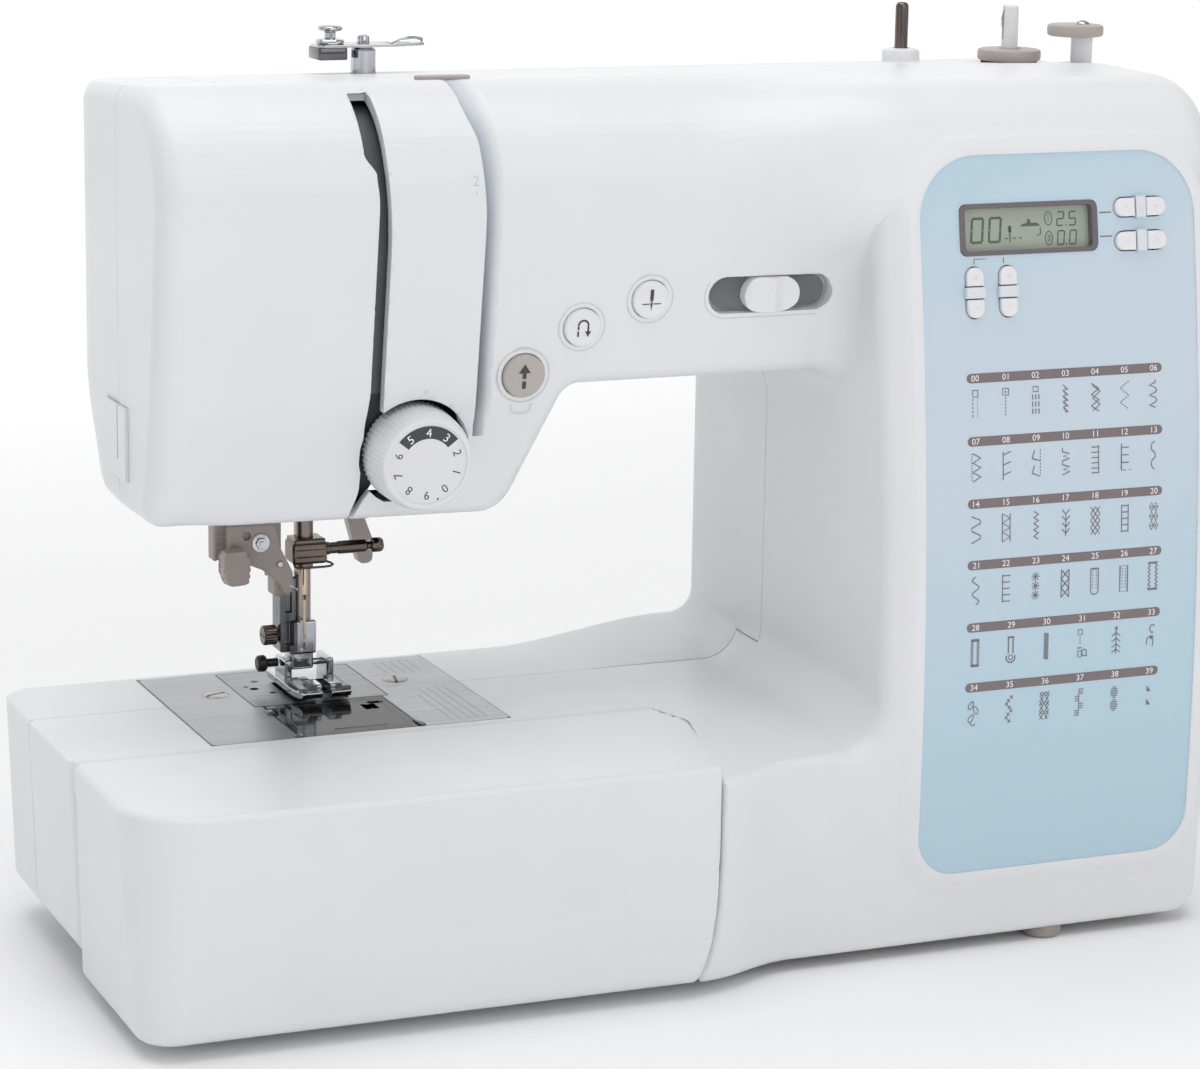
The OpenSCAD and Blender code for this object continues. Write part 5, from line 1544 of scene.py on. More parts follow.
def f_knob(x, y, z):
    a, b, c = pl.local(x, y, z)
    F = rmax(rmax(pillf(a, b, 20.4, 12.0) + 0.0, c - 2.4, 0.9), -4.2 - c, 0.3)
    # two finger dishes with a ridge between
    dish = np.sqrt((np.abs(a) - 5.6) ** 2 + (c - 9.4) ** 2) - 8.4
    F = np.maximum(F, -dish)
    F = np.minimum(F, np.maximum(np.maximum(np.abs(a) - 3, np.abs(b) - 1.9), np.abs(c + 5.9) - 2.3))
    F = np.minimum(F, np.maximum(np.maximum(np.abs(a) - 5, np.abs(b) - 5), np.abs(c + 8.5) - 0.9))
    return F


c0 = pl.o
small("speed_knob", f_knob, (c0[0] - 11.5, c0[1] - 5, c0[2] - 8), (c0[0] + 11.5, c0[1] + 11.5, c0[2] + 8), 0.5, M["white"], "speed_slider", "speed_slider")

# dark track seen on each side of the knob
P = pill(42.0, 10.6, 12)
printed("slider_track", [poly2(P)], on(pl), M["track"], lift=-2.13)

# tension dial with its knurled flank, number disc and marker band
rd, nt = 17.2, 60
prof = [(13.4, -0.7), (13.6, -0.05), (14.6, 0.0), (15.3, -0.35), (15.7, -1.2), (16.25, -3.0), (16.7, -6.0), (rd, -16.4), (16.4, -17.0)]
n = nt * 6
V, F = [], []
for r_, h_ in prof:
    for i in range(n):
        th = 2 * math.pi * i / n
        k = r_
        if -16.5 < h_ < -1.0:
            k = r_ - 0.42 * (0.5 - 0.5 * math.cos(nt * th)) * min(1.0, (-h_ - 0.6) / 1.6)
        V.append((k * math.cos(th), k * math.sin(th), h_))
m = len(prof)
for l in range(m - 1):
    for i in range(n):
        j = (i + 1) % n
        F.append((l * n + i, (l + 1) * n + i, (l + 1) * n + j, l * n + j))
F.append(tuple(range(n)))
F.append(tuple((m - 1) * n + i for i in range(n - 1, -1, -1)))
stem = lathe([(0, -28), (3, -28), (3, -16.8), (0, -16.8)], 24, False)
solid("dial_body", [placed((np.array(V), F), DIAL), placed(stem, DIAL)], M["dialw"], "tension_dial", "tension_dial", "white", angle=28)
digs, white = [], []
for i, ch in enumerate("4321098765"):
    a = math.radians(90 - 36 * i + 0)
    g = glyphs(ch, 2.85, 10.6 * math.cos(a), 10.6 * math.sin(a), rot=math.degrees(a) - 90)
    (white if ch in "543" else digs).append(g)
band = []
a0, a1 = 38, 142
ts = np.radians(np.linspace(a0, a1, 41))
ri, ro = 8.6, 12.9
inner = np.c_[ri * np.cos(ts), ri * np.sin(ts)]
outer = np.c_[ro * np.cos(ts), ro * np.sin(ts)]
V = np.vstack([outer, inner])
band = [(V, [(i, i + 1, 41 + i + 1, 41 + i) for i in range(40)])]
printed("dial_band", band, on(DIAL), M["ink"], "tension_dial", lift=-0.66)
printed("dial_band_digits", white, on(DIAL), M["inkw"], "tension_dial", lift=-0.62)
printed("dial_digits", digs, on(DIAL), M["ink"], "tension_dial", lift=-0.66)
printed("dial_dot", [disc2((12.6 * math.cos(math.radians(-72)), 12.6 * math.sin(math.radians(-72))), 0.35, 12)], on(DIAL), M["ink"], "tension_dial", lift=-0.65)

# keys: rolled edges, with a bridge cap between the two of a pair
key_nodes = [("length_minus", 0, -1, "-"), ("length_plus", 0, 1, "+"), ("width_minus", 1, -1, "-"), ("width_plus", 1, 1, "+"), ("tens_plus", 2, 1, "+"), ("tens_minus", 2, -1, "-"), ("units_plus", 3, 1, "+"), ("units_minus", 3, -1, "-")]
for nm, ki, sd, mark in key_nodes:
    kx, kz_, ang = KEYS[ki]
    L = 19.8 if ki < 2 else 17.0
    pk = on_panel(kx, kz_)

    def f_key(x, y, z, pk=pk, ang=ang, L=L, sd=sd):
        a, b, c = pk.local(x, y, z)
        if ang:
            a, b = b, -a
        a = a * sd
        d = rmax(pillf(a, b, L, 6.3), 1.9 + 0.35 - a, 0.35)
        top = 2.3 - 0.035 * (a - L / 4) ** 2 * 0.0
        return rmax(rmax(d, c - top, 0.55), -3.4 - c, 0.2)
    e = L / 2 + 1
    lo = pk.o - np.array([e, 5, e]) * [1, 1, 1]
    hi = pk.o + np.array([e, 5.5, e]) * [1, 1, 1]
    if ang:
        lo = np.array([kx - 4.2, lo[1], kz_ + (0.5 if sd > 0 else -e)])
        hi = np.array([kx + 4.2, hi[1], kz_ + (e if sd > 0 else -0.5)])
    else:
        lo = np.array([kx + (0.5 if sd > 0 else -e), lo[1], kz_ - 4.6])
        hi = np.array([kx + (e if sd > 0 else -0.5), hi[1], kz_ + 4.6])
    small(nm + "_cap", f_key, lo, hi, 0.45, M["white"], nm, nm)
    cx = (5.9 if ki < 2 else 5.0) * sd
    gl = [line((-0.9, 0), (0.9, 0), w=0.3)] + ([line((0, -0.9), (0, 0.9), w=0.3)] if mark == "+" else [])
    gl = [move2(g, cx if not ang else 0, 0 if not ang else cx) for g in gl]
    printed(nm + "_mark", gl, on(pk), M["emb2"], nm, lift=2.34)
caps = []
for kx, kz_, ang in KEYS:
    pk = on_panel(kx, kz_)
    w, hgt = 3.7, 6.9
    P = rpoly([(-w / 2, -hgt / 2, 0.5), (w / 2, -hgt / 2, 0.5), (w / 2, hgt / 2, 0.5), (-w / 2, hgt / 2, 0.5)], 4)
    if ang:
        P = P[:, ::-1]
    caps.append(placed(prism(P, 1.2, 2.38, 0.25), pk))
solid("key_bridges", caps, M["bridge"], "housing", angle=40)


# ------------------------------------------------------------------ needle area
def rbox(x, y, z, x0, x1, y0, y1, z0, z1, r):
    """box with rounded edges"""
    qx = np.abs(x - (x0 + x1) / 2) - (x1 - x0) / 2 + r
    qy = np.abs(y - (y0 + y1) / 2) - (y1 - y0) / 2 + r
    qz = np.abs(z - (z0 + z1) / 2) - (z1 - z0) / 2 + r
    o = np.sqrt(np.maximum(qx, 0) ** 2 + np.maximum(qy, 0) ** 2 + np.maximum(qz, 0) ** 2)
    return o + np.minimum(np.maximum(qx, np.maximum(qy, qz)), 0) - r


NX, NY = -3.5, 8.0


def f_clamp(x, y, z):
    F = rbox(x, y, z, -9.3, 3.2, 2.4, 13.2, 47.7, 55.5, 1.3)
    F = np.minimum(F, rbox(x, y, z, -8.6, 2.6, 3.0, 12.6, 55.0, 56.6, 0.6))
    F = np.maximum(F, -(np.hypot(x - NX, y - NY) - 3.02))
    # shallow waist on the front
    F = np.maximum(F, -rbox(x, y, z, -12, 5, 1.6, 2.75, 50.4, 52.9, 0.2))
    return F


small("clamp_block", f_clamp, (-10, 1.6, 46), (4, 14, 57.2), 0.42, M["nickel"], "needle_bar", "needle_clamp")
th = [(-8.9, 3.6, 48.4), (-8.9, 1.9, 47.5), (-8.2, 1.5, 47.0), (-5.5, 1.4, 46.9), (-2.0, 1.4, 46.9), (1.5, 1.4, 46.9), (3.9, 1.6, 47.0), (5.0, 2.4, 47.3), (4.4, 3.4, 47.8), (2.4, 4.2, 48.4)]
solid("bar_thread_guide", [tube(th, 0.42, 8)], M["nickel"], "needle_bar", (), "nickel", angle=50)

screw = [(0, 3.2), (2.3, 3.2), (2.3, 5.2), (2.0, 5.5), (2.0, 8.4), (2.3, 8.8), (2.3, 18.6), (1.9, 19.2), (1.35, 19.5), (1.35, 20.4), (2.35, 20.7), (2.6, 21.2), (2.6, 24.2), (2.2, 24.9)]
parts = [along(lathe(screw + [(0.55, 24.9), (0.55, 24.1), (0, 24.1)], 40, False), (0, NY, 51.8), "x")]
solid("clamp_thumb_screw", parts, M["nickel"], "clamp_screw", "clamp_screw", "nickel", angle=30)
sl = np.array([(24.93, NY - 2.3), (24.93, NY + 2.3)])
# the screwdriver slot is a flat black quad: painted shade in place of a cut recess
V = np.array([(24.95, NY - 2.2, 51.45), (24.95, NY + 2.2, 51.45), (24.95, NY + 2.2, 52.15), (24.95, NY - 2.2, 52.15)])
ob = mesh_object("clamp_slot", V, [(0, 1, 2, 3)], M["black"], smooth=False)
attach(ob, "clamp_screw")

# needle threader: ridged rack block, lever plate, ribbed thumb tab and guide foot
def f_threader(x, y, z):
    F = np.hypot(x + 16, y - NY) - 2.0
    F = np.maximum(F, np.maximum(44 - z, z - 122))
    blk = rbox(x, y, z, -37.6, -30, 4, 10.6, 51, 66, 0.8)
    blk = np.minimum(blk, rbox(x, y, z, -31, -13, 4.6, 10.6, 50, 66, 0.7))
    rib = 0.45 * (0.5 - 0.5 * np.cos((z - 50) * 2 * math.pi / 1.9)) * (y < 6) * (x > -36.4) * (x < -30)
    blk = blk + rib
    F = np.minimum(F, blk)
    P = T_THR(x, z)
    F = np.minimum(F, rmax(P, np.abs(y - 1.4) - 2.3, 0.6))
    tab = T_TAB(x, z)
    tab = rmax(tab, np.abs(y + 4.25) - 3.75, 1.2)
    tab = tab + 0.38 * (0.5 - 0.5 * np.cos((z - 41) * 2 * math.pi / 2.2)) * (y < -2)
    F = np.minimum(F, tab)
    F = np.minimum(F, rbox(x, y, z, -16.5, -10.6, 1.6, 9.8, 37.6, 44.5, 0.7))
    F = np.maximum(F, -np.maximum(np.hypot(x + 27.2, z - 60.2) - 1.5, y - 0.6))
    return F


T_THR = Table(rpoly([(-33.6, 64, 1.5), (-16.8, 64, 2), (-14.9, 55, 2), (-10.6, 46.5, 1.5), (-10.4, 39.6, 1), (-13.4, 38.4, 1), (-15.7, 42.5, 1.5), (-21.1, 47.6, 2), (-27.6, 50.5, 2), (-33.6, 52.6, 1.5)], 5), -42, -4, 34, 72, 0.25)
T_TAB = Table(rpoly([(-37.4, 56.2, 1.8), (-29.6, 56.9, 1.5), (-27.4, 53.5, 1.5), (-28.2, 44.4, 2.5), (-35.6, 43.8, 2.5), (-37.6, 49, 1.5)], 5), -42, -4, 34, 72, 0.25)
small("threader_body", f_threader, (-39, -9, 36.6), (-9.4, 11.6, 70), 0.5, M["threader"], "needle_threader", "needle_threader")
post = lathe([(0, 69), (2, 69), (2, 122), (0, 122)], 24, False)
solid("threader_post", [placed(post, None, (-16, NY, 0))], M["silver"], "needle_threader", (), "steel")
bolt = [(0, 2.4), (0.9, 2.4), (1.1, 1.9), (1.9, 1.9), (2.1, 1.6), (2.1, 0.9), (3.1, 0.8), (3.2, 0.2), (0, 0.2)]
solid("threader_bolt", [along(lathe(bolt, 6, False), (-22.4, -0.9, 57.6), "-y")], M["silver"], "needle_threader", (), "steel", angle=30)
wash = [(0, 0.7), (3.1, 0.7), (3.2, 0.5), (3.2, 0.0), (0, 0.0)]
solid("threader_washer", [along(lathe(wash, 40, False), (-22.4, -0.9, 57.6), "-y")], M["silver"], "needle_threader", (), "steel", angle=30)
rivet = [(0, 0.9), (0.9, 0.8), (1.2, 0.4), (1.2, 0.0), (0, 0.0)]
solid("threader_rivet", [along(lathe(rivet, 24, False), (-15.4, -0.9, 49.6), "-y")], M["silver"], "needle_threader", (), "steel", angle=40)
hook = [(-12.8, 0.2, 43.0), (-11.4, -0.6, 41.4), (-9.8, -0.4, 40.2), (-8.6, 1.2, 39.6), (-8.4, 3.0, 39.4)]
solid("threader_hook", [tube(hook, [0.6, 0.58, 0.54, 0.5, 0.45], 8)], M["silver"], "needle_threader", (), "steel", angle=50)

# foot holder: milled shank with its slot, side block and cross pin
def f_holder(x, y, z):
    F = rbox(x, y, z, -6.4, 3.4, 15.2, 26.5, 12.5, 24.5, 0.9)
    F = np.minimum(F, rbox(x, y, z, -9.2, -3.4, 17.5, 27, 13, 40, 0.7))
    F = np.minimum(F, rbox(x, y, z, -5.6, 2.8, 17, 25, 6.6, 13, 0.8))
    F = np.maximum(F, -np.maximum(np.hypot(x, y - 21) - 3.02, 24 - z))
    F = np.maximum(F, -(np.hypot(y - 20, z - 8.4) - 1.6))
    F = np.maximum(F, -rbox(x, y, z, -10, 6, 18.4, 21.6, 4, 8.4, 0.05))
    # black slots milled in the shank
    for zc in (31.5, 20.0):
        F = np.maximum(F, -rbox(x, y, z, -7.6, -5.0, 10, 19.3, zc - 4.2, zc + 4.2, 0.4))
    F = np.maximum(F, -rbox(x, y, z, -2.6, -1.2, 10, 16.2, 14, 25, 0.2))
    return F


small("foot_shank", f_holder, (-10.2, 14.2, 5.6), (4.4, 28, 41), 0.45, None, "presser_bar", "foot_holder", mats=[M["chrome"], M["chrome2"]], pick=lambda x, y, z, n: ((x < -3.6) & (z > 13.4)).astype(int))
kn = 24
V, F = [], []
prof = [(3.1, -14.8), (3.5, -14.4), (3.5, -10.2), (3.0, -9.8), (2.2, -9.7), (2.2, -9.2)]
for r_, h_ in prof:
    for i in range(kn * 4):
        a = 2 * math.pi * i / (kn * 4)
        k = r_ - (0.22 * (0.5 - 0.5 * math.cos(kn * a)) if r_ > 3.3 else 0)
        V.append((k * math.cos(a), k * math.sin(a), h_))
n = kn * 4
for l in range(len(prof) - 1):
    for i in range(n):
        j = (i + 1) % n
        F.append((l * n + i, l * n + j, (l + 1) * n + j, (l + 1) * n + i))
F.append(tuple(range(n - 1, -1, -1)))
F.append(tuple((len(prof) - 1) * n + i for i in range(n)))
solid("holder_thumb_screw", [along((np.array(V), F), (0, 21, 19), "x")], M["nickel"], "holder_screw", "holder_screw", "nickel", angle=35)
# the screwdriver slot is a flat black quad: painted shade in place of a cut recess
V = np.array([(-14.83, 21 - 2.7, 18.6), (-14.83, 21 + 2.7, 18.6), (-14.83, 21 + 2.7, 19.4), (-14.83, 21 - 2.7, 19.4)])
ob = mesh_object("holder_slot", V, [(0, 1, 2, 3)], M["black"], smooth=False)
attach(ob, "holder_screw")

# black release knob on the back of the foot holder
knob = [(0, -17.2), (2.2, -17.2), (2.9, -16.6), (3.0, -14.6), (2.4, -13.9), (1.5, -13.5), (1.5, -9.6), (0, -9.6)]
solid("release_knob", [along(lathe(knob, 28, False), (0, 20, 9.2), "x")], M["black"], "presser_bar", (), "dark", angle=40)

# zigzag foot: chrome sole with turned-up toes, side bars and a clear centre
def f_foot(x, y, z):
    t = T_FOOT(y, z)
    F = rmax(t, np.abs(x) - 10.5, 0.5)
    # toes curve up and narrow towards the front
    nar = 10.5 - 1.6 * sstep(2, -6.5, y)
    F = rmax(F, np.abs(x) - nar, 0.4)
    for s in (-1, 1):
        F = np.minimum(F, rbox(x, y, z, 6.4 if s > 0 else -9, 9 if s > 0 else -6.4, 13, 25, 3.6, 11, 0.8))
        F = np.minimum(F, rbox(x, y, z, 4.6 if s > 0 else -9.4, 9.4 if s > 0 else -4.6, -4.8, 12.5, 3.8, 5.3, 0.6))
    F = np.minimum(F, rbox(x, y, z, -6, 6, -5, 3, 4, 6.5, 0.7))
    F = np.minimum(F, np.maximum(np.hypot(y - 20, z - 8.4) - 1.25, np.abs(x) - 9))
    F = np.maximum(F, -rbox(x, y, z, -5.2, 5.2, 4.6, 11.4, -1, 9, 0.3))
    F = np.maximum(F, -rbox(x, y, z, -1.6, 1.6, -10, 5, -1, 9, 0.1))
    return F


T_FOOT = Table(rpoly([(-6.5, 3.6, 0.3), (-5.9, 2.4, 0.6), (-4.6, 1.6, 1), (28, 1.6, 1), (29.8, 2.2, 0.6), (31, 3.6, 0.3), (30.6, 4.2, 0.3), (-6.2, 4.2, 0.3)], 5), -10, 35, -2, 8, 0.2)


def foot_pick(x, y, z, n):
    return ((z > 4.35) & (y < 12.6) & (np.abs(x) > 3.2)).astype(int)


small("zigzag_foot", f_foot, (-11.4, -7.4, 0.8), (11.4, 32, 12), 0.5, None, "presser_foot", "presser_foot", mats=[M["chrome"], M["clear2"]], pick=foot_pick)
toe = [poly2([(-9.6, -5.4), (-8.6, -5.4), (-8.6, 2.0), (-9.6, 2.0)])]

# a pin turned for the presser bar and needle bar ends; it is not placed
pin = lathe([(0, -9.9), (1.5, -9.9), (1.5, 3.9), (0, 3.9)], 20, False)

# plate engraving: seam guides to the right, short marks to the left
g = []
for x in (33.4, 36.6, 39.8, 43.0, 46.2):
    g.append(line((x, -41), (x, 2 if x != 33.4 else -6), w=0.22))
    g.append(line((x, 24, ), (x, 41), w=0.22))
for y in (-8, 8, 24):
    g.append(line((27, y), (31, y), w=0.22))


def flat_top(z0):
    return lambda a, b, lift: np.c_[a, b, np.full_like(a, z0) + lift]


printed("plate_guides", g, flat_top(0.0), M["engrave"], lift=0.025)
printed("plate_seam", [line((-25.3, -2.4), (-25.3, 43.2), (23.7, 43.2), (23.7, -2.4), (-25.3, -2.4), w=0.4), line((-22.6, -44.4), (-22.6, -2.9), (21.1, -2.9), (21.1, -44.4), w=0.5)], flat_top(0.0), M["black"], lift=0.02)
# the two holes are flat black discs: painted shade in place of openings
printed("plate_holes", [disc2((-15, 30), 1.4, 20), disc2((-20, 24), 1.0, 16)], flat_top(0.0), M["black"], lift=0.03)

for i, (px_, py_) in enumerate(((-33.2, 17), (33.2, 16.5))):
    head = lathe([(0, 0.42), (2.6, 0.4), (3.9, 0.26), (4.5, 0.02), (4.6, -0.5), (0, -0.5)], 44, False)
    solid("plate_screw_head_%d" % i, [placed(head, None, (px_, py_, 0))], M["screw"], "housing", (), "steel", angle=30)
    # each slot is a flat black bar on the head: painted shade in place of a cut slot
    c, s = math.cos(0.35 + i), math.sin(0.35 + i)
    P = np.array([(-3.9, -0.5), (3.9, -0.5), (3.9, 0.5), (-3.9, 0.5)]) @ np.array([[c, s], [-s, c]]) + [px_, py_]
    printed("plate_screw_slot_%d" % i, [poly2(P)], flat_top(0.44), M["black"], lift=0.0)

# smoked slide cover: finger slot, latch ends and frame lines
# the cover's slots are flat black shapes: painted shade in place of openings
printed("cover_slot", [poly2(pill(19.5, 1.5, 6) + [1.2, -38.6]), poly2(pill(4.2, 0.9, 6) + [-8, -20]), poly2(pill(2.0, 7.0, 6) + [12.5, -15])], flat_top(0.0), M["black"], lift=0.03)
latch = [prism(rpoly([(x0, y0, 0.5), (x1, y0, 0.5), (x1, y1, 0.5), (x0, y1, 0.5)], 4), -0.2, 0.55, 0.2) for x0, x1, y0, y1 in ((-24.0, -21.4, -14.4, -9.4), (20.2, 22.6, -44.2, -36.4), (-24.0, -21.2, -44.2, -41.4))]
solid("cover_latch", latch, M["chrome2"], "housing", (), "chrome")
printed("cover_marks", [line((-19.5, -41.6), (18, -41.6), w=0.3), line((-19.5, -41.6), (-19.5, -6), w=0.3), line((18, -41.6), (18, -6), w=0.3), line((-19.5, -6), (18, -6), w=0.25)], flat_top(0.0), M["engrave"], lift=0.03)
# dark border where the plate drops into the bed
printed("plate_border", [line((-53.5, 45.8), (-53.5, -44.6), w=0.55), line((-53.5, -44.8), (-23, -44.8), w=0.3), line((21.5, -44.8), (53.5, -44.8), w=0.3)], flat_top(0.0), M["engrave"], lift=0.02)

# ------------------------------------------------------------------ top parts
sx, sy = SPOOL
pin = [(0, 150), (2.2, 150), (2.2, 218.6), (2.4, 218.8), (2.4, 234.3), (2.25, 235.2), (1.8, 235.9), (1.1, 236.2), (0, 236.25)]
solid("spool_rod", [placed(lathe(pin, 36, False), None, (sx, sy, 0))], M["nickel2"], "spool_pin", "spool_pin", "nickel", angle=40)
n = 120
V, F = [], []
prof = [(3.0, 219.6), (5.6, 219.4), (6.5, 218.9), (6.9, 218.2), (6.9, 214.5), (6.9, 210)]
for r_, h_ in prof:
    for i in range(n):
        a = 2 * math.pi * i / n
        k = r_ - (0.28 * (i % 4 < 1) if 214 < h_ < 218.6 else 0)
        V.append((sx + k * math.cos(a), sy + k * math.sin(a), h_))
for l in range(len(prof) - 1):
    for i in range(n):
        j = (i + 1) % n
        F.append((l * n + i, (l + 1) * n + i, (l + 1) * n + j, l * n + j))
solid("spool_collar", [(np.array(V), F)], M["white"], "housing", (), "shell", angle=30)

wx, wy = WINDER
shaft = [(0, 191.5), (3, 191.5), (3, 201), (5.5, 201), (5.5, 203), (3, 203), (3, 214.8), (4.2, 214.8), (4.2, 216.6)]
low = lathe(shaft + [(0, 216.6)], 36, False)
gear = []
n = 44 * 4
V, F = [], []
prof = [(9.0, 214.9), (10.2, 215.1), (10.2, 216.7), (9.6, 216.9)]
for r_, h_ in prof:
    for i in range(n):
        a = 2 * math.pi * i / n
        k = r_ - (0.7 if (i % 4) in (0, 3) and 215 < h_ < 216.8 else 0)
        V.append((wx + k * math.cos(a), wy + k * math.sin(a), h_))
for l in range(len(prof) - 1):
    for i in range(n):
        j = (i + 1) % n
        F.append((l * n + i, l * n + j, (l + 1) * n + j, (l + 1) * n + i))
F.append(tuple(range(n - 1, -1, -1)))
F.append(tuple((len(prof) - 1) * n + i for i in range(n)))
solid("winder_gear", [(np.array(V), F)], M["black"], "winder_shaft", (), "dark", angle=30)
disc = [(0, 216.6), (10.3, 216.6), (11.1, 216.9), (11.5, 217.6), (11.5, 219.9), (11.2, 220.5), (10.6, 220.8), (4.2, 220.9), (3.9, 221.4), (0, 221.4)]
solid("winder_disc", [placed(lathe(disc, 72, False), None, (wx, wy, 0))], M["taupe"], "winder_shaft", (), "taupe", angle=30)


def f_wshaft(x, y, z):
    a, b = x - wx, y - wy
    F = rmax(np.hypot(a, b) - 3.0 + 0.12 * sstep(228, 236, z), z - 236.5, 0.9)
    F = np.maximum(F, 221.2 - z)
    # slit that holds the spring clip
    F = np.maximum(F, -np.maximum(np.maximum(np.abs(b) - 0.55, 224 - z), a - 1.0))
    return F


small("winder_post", f_wshaft, (wx - 4, wy - 4, 220.5), (wx + 4, wy + 4, 237.6), 0.4, M["white"], "winder_shaft", ())
solid("winder_stem", [placed(low, None, (wx, wy, 0))], M["white"], "winder_shaft", "winder_shaft", "white", angle=40)
clip = [(wx - 1.0, wy, 224.2), (wx - 2.7, wy, 226.5), (wx - 3.35, wy, 229.5), (wx - 3.45, wy, 232.0), (wx - 2.9, wy, 234.2), (wx - 1.2, wy, 235.6)]
solid("winder_clip", [tube(clip, 0.32, 8)], M["silver"], "winder_shaft", (), "steel", angle=50)

tx, ty = STOP
post = lathe([(0, 206), (3.9, 206), (3.9, 226.9), (0, 226.9)], 40, False)
dsc = lathe([(0, 226.8), (9.0, 226.8), (9.8, 227.1), (10.1, 227.8), (10.1, 230.0), (9.8, 230.6), (9.2, 230.9), (0, 230.95)], 64, False)
solid("stopper_post", [placed(post, None, (tx, ty, 0))], M["white"], "housing", "winder_stopper", "white", angle=40)
solid("stopper_disc", [placed(dsc, None, (tx - 2.9, ty, 0))], M["taupe"], "housing", (), "taupe", angle=30)
dome = lathe([(0, 232.25), (0.9, 232.2), (1.9, 231.9), (2.5, 231.4), (2.7, 230.9), (2.7, 230.6), (0, 230.6)], 36, False)
solid("stopper_screw", [placed(dome, None, (tx, ty, 0))], M["chrome"], "housing", (), "chrome", angle=35)
# the cross recess is a flat black cross: painted shade in place of a cut recess
printed("stopper_cross", [line((tx - 1.3, ty), (tx + 1.3, ty), w=0.35), line((tx, ty - 1.3), (tx, ty + 1.3), w=0.35)], flat_top(232.27), M["black"], lift=0.0)

# top thread guide: post, spring plate with its eye, and pre-tension discs
gx, gy = 23.6, 25.0
P = rpoly([(-18, -6, 3), (10, -6, 3), (22, -2, 1.5), (22, 2, 1.5), (10, 6, 3), (-18, 6, 3)], 6) + [gx, gy]
parts = [placed(lathe([(0, 209), (4.4, 209), (4.4, 222.6), (4.0, 223.2), (3.2, 223.6), (3.2, 224), (0, 224)], 40, False), None, (gx, gy, 0)),
         prism(P, 224, 225.0, 0.25)]
parts.append(placed(lathe([(0, 227.9), (1.2, 227.9), (2.0, 227.5), (2.2, 226.9), (2.2, 225), (0, 225)], 32, False), None, (gx, gy, 0)))
bracket = [prism(rpoly([(gx - 18, gy - 6, 1), (gx - 7.5, gy - 6, 1), (gx - 7.5, gy + 6, 1), (gx - 18, gy + 6, 1)], 4), 219.8, 224.0, 0.4)]
solid("guide_bracket", bracket, M["chrome2"], "housing", (), "chrome", angle=30)
solid("guide_plate", parts, M["chrome"], "housing", "top_thread_guide", "chrome", angle=30)
dd = [(0, 231.4), (1.0, 231.4), (3.6, 231.2), (4.35, 230.7), (4.4, 230.2), (4.0, 229.6), (2.6, 229.2), (2.0, 228.8), (2.0, 227.2), (2.8, 226.9), (4.6, 226.6), (5.0, 226.2), (5.0, 225.6), (4.6, 225.1), (0, 225.1)]
solid("guide_discs", [placed(lathe(dd, 44, False), None, (gx - 12, gy, 0))], M["chrome"], "housing", (), "chrome", angle=35)
arm_ = [(gx + 8, gy - 4.6, 225.2), (gx + 12, gy - 4.9, 226.8), (gx + 17, gy - 4.2, 227.0), (gx + 20.6, gy - 2.2, 226.3), (gx + 21.4, gy, 225.6)]
solid("guide_wire", [tube(arm_, 0.55, 10)], M["chrome"], "housing", (), "chrome", angle=50)
# the plate's slot is a flat black pill: painted shade in place of an opening
printed("guide_slot", [poly2(pill(9.0, 1.6, 6) + [gx + 12.5, gy])], flat_top(225.02), M["black"], lift=0.0)

# ------------------------------------------------------------------ small mouldings
def head_place(a, b, lift):
    """marks on the cover strip; the front of the head at height b"""
    out = np.zeros((len(a), 3))
    zz = np.asarray(b, float)
    y = np.interp(zz, HEAD_Z, HEAD_Y)
    dy = np.interp(zz + 0.5, HEAD_Z, HEAD_Y) - np.interp(zz - 0.5, HEAD_Z, HEAD_Y)
    k = np.sqrt(1 + dy * dy)
    out[:, 0] = a
    out[:, 1] = y - lift / k
    out[:, 2] = zz + lift * dy / k
    return out


HEAD_Z = np.linspace(84, 214, 131)
_y = np.linspace(-95, -40, 441)
HEAD_Y = np.array([_y[int(np.argmax(form(np.full_like(_y, 12.0), _y, np.full_like(_y, q)) < 0))] for q in HEAD_Z])
emb = [glyphs("2", 3.4, 25.9, 189.6)] + [line((25.9, 186.2), (25.9, 181.6), w=0.6), poly2([(24.9, 181.8), (25.9, 179.2), (26.9, 181.8)])]
printed("thread_step_mark", emb, head_place, M["emb"], lift=0.05)
printed("dial_index", [poly2([(11.4, 121.0), (12.8, 121.0), (12.8, 118.9), (11.4, 118.9)])], head_place, M["emb2"], lift=0.1)
# taupe guide let into the top of the cover strip
g2 = prism(rpoly([(18.5, -43.5, 2.5), (37.5, -43.5, 2.5), (37.5, -37.5, 2.5), (18.5, -37.5, 2.5)], 5), 218.6, 219.9, 0.3)
solid("strip_guide", [g2], M["taupe"], "housing", (), "taupe", angle=30)
# work lamp under the head, and the tiny dimple on the top
lamp = lathe([(0, HEADZ + 0.9), (4.6, HEADZ + 0.9), (5.0, HEADZ + 0.5), (5.0, HEADZ - 0.4), (4.2, HEADZ - 1.4), (2.4, HEADZ - 2.0), (0, HEADZ - 2.15)], 40, False)
solid("work_lamp", [placed(lamp, None, (-2, -46, 0))], M["clear2"], "housing", (), "clear", angle=40)
# the dimple is not cut: a grey ring paints the shade of its rim
printed("top_dimple", [ring2((215.3, -20), 1.1, 0.3, 24)], flat_top(218.1), M["emb"], lift=0.05)

# soft rim that frames the control panel
P = rpoly([(176, -51, 15), (282.7, -51, 15), (282.7, 194.6, 22), (176, 194.6, 22)], 14)
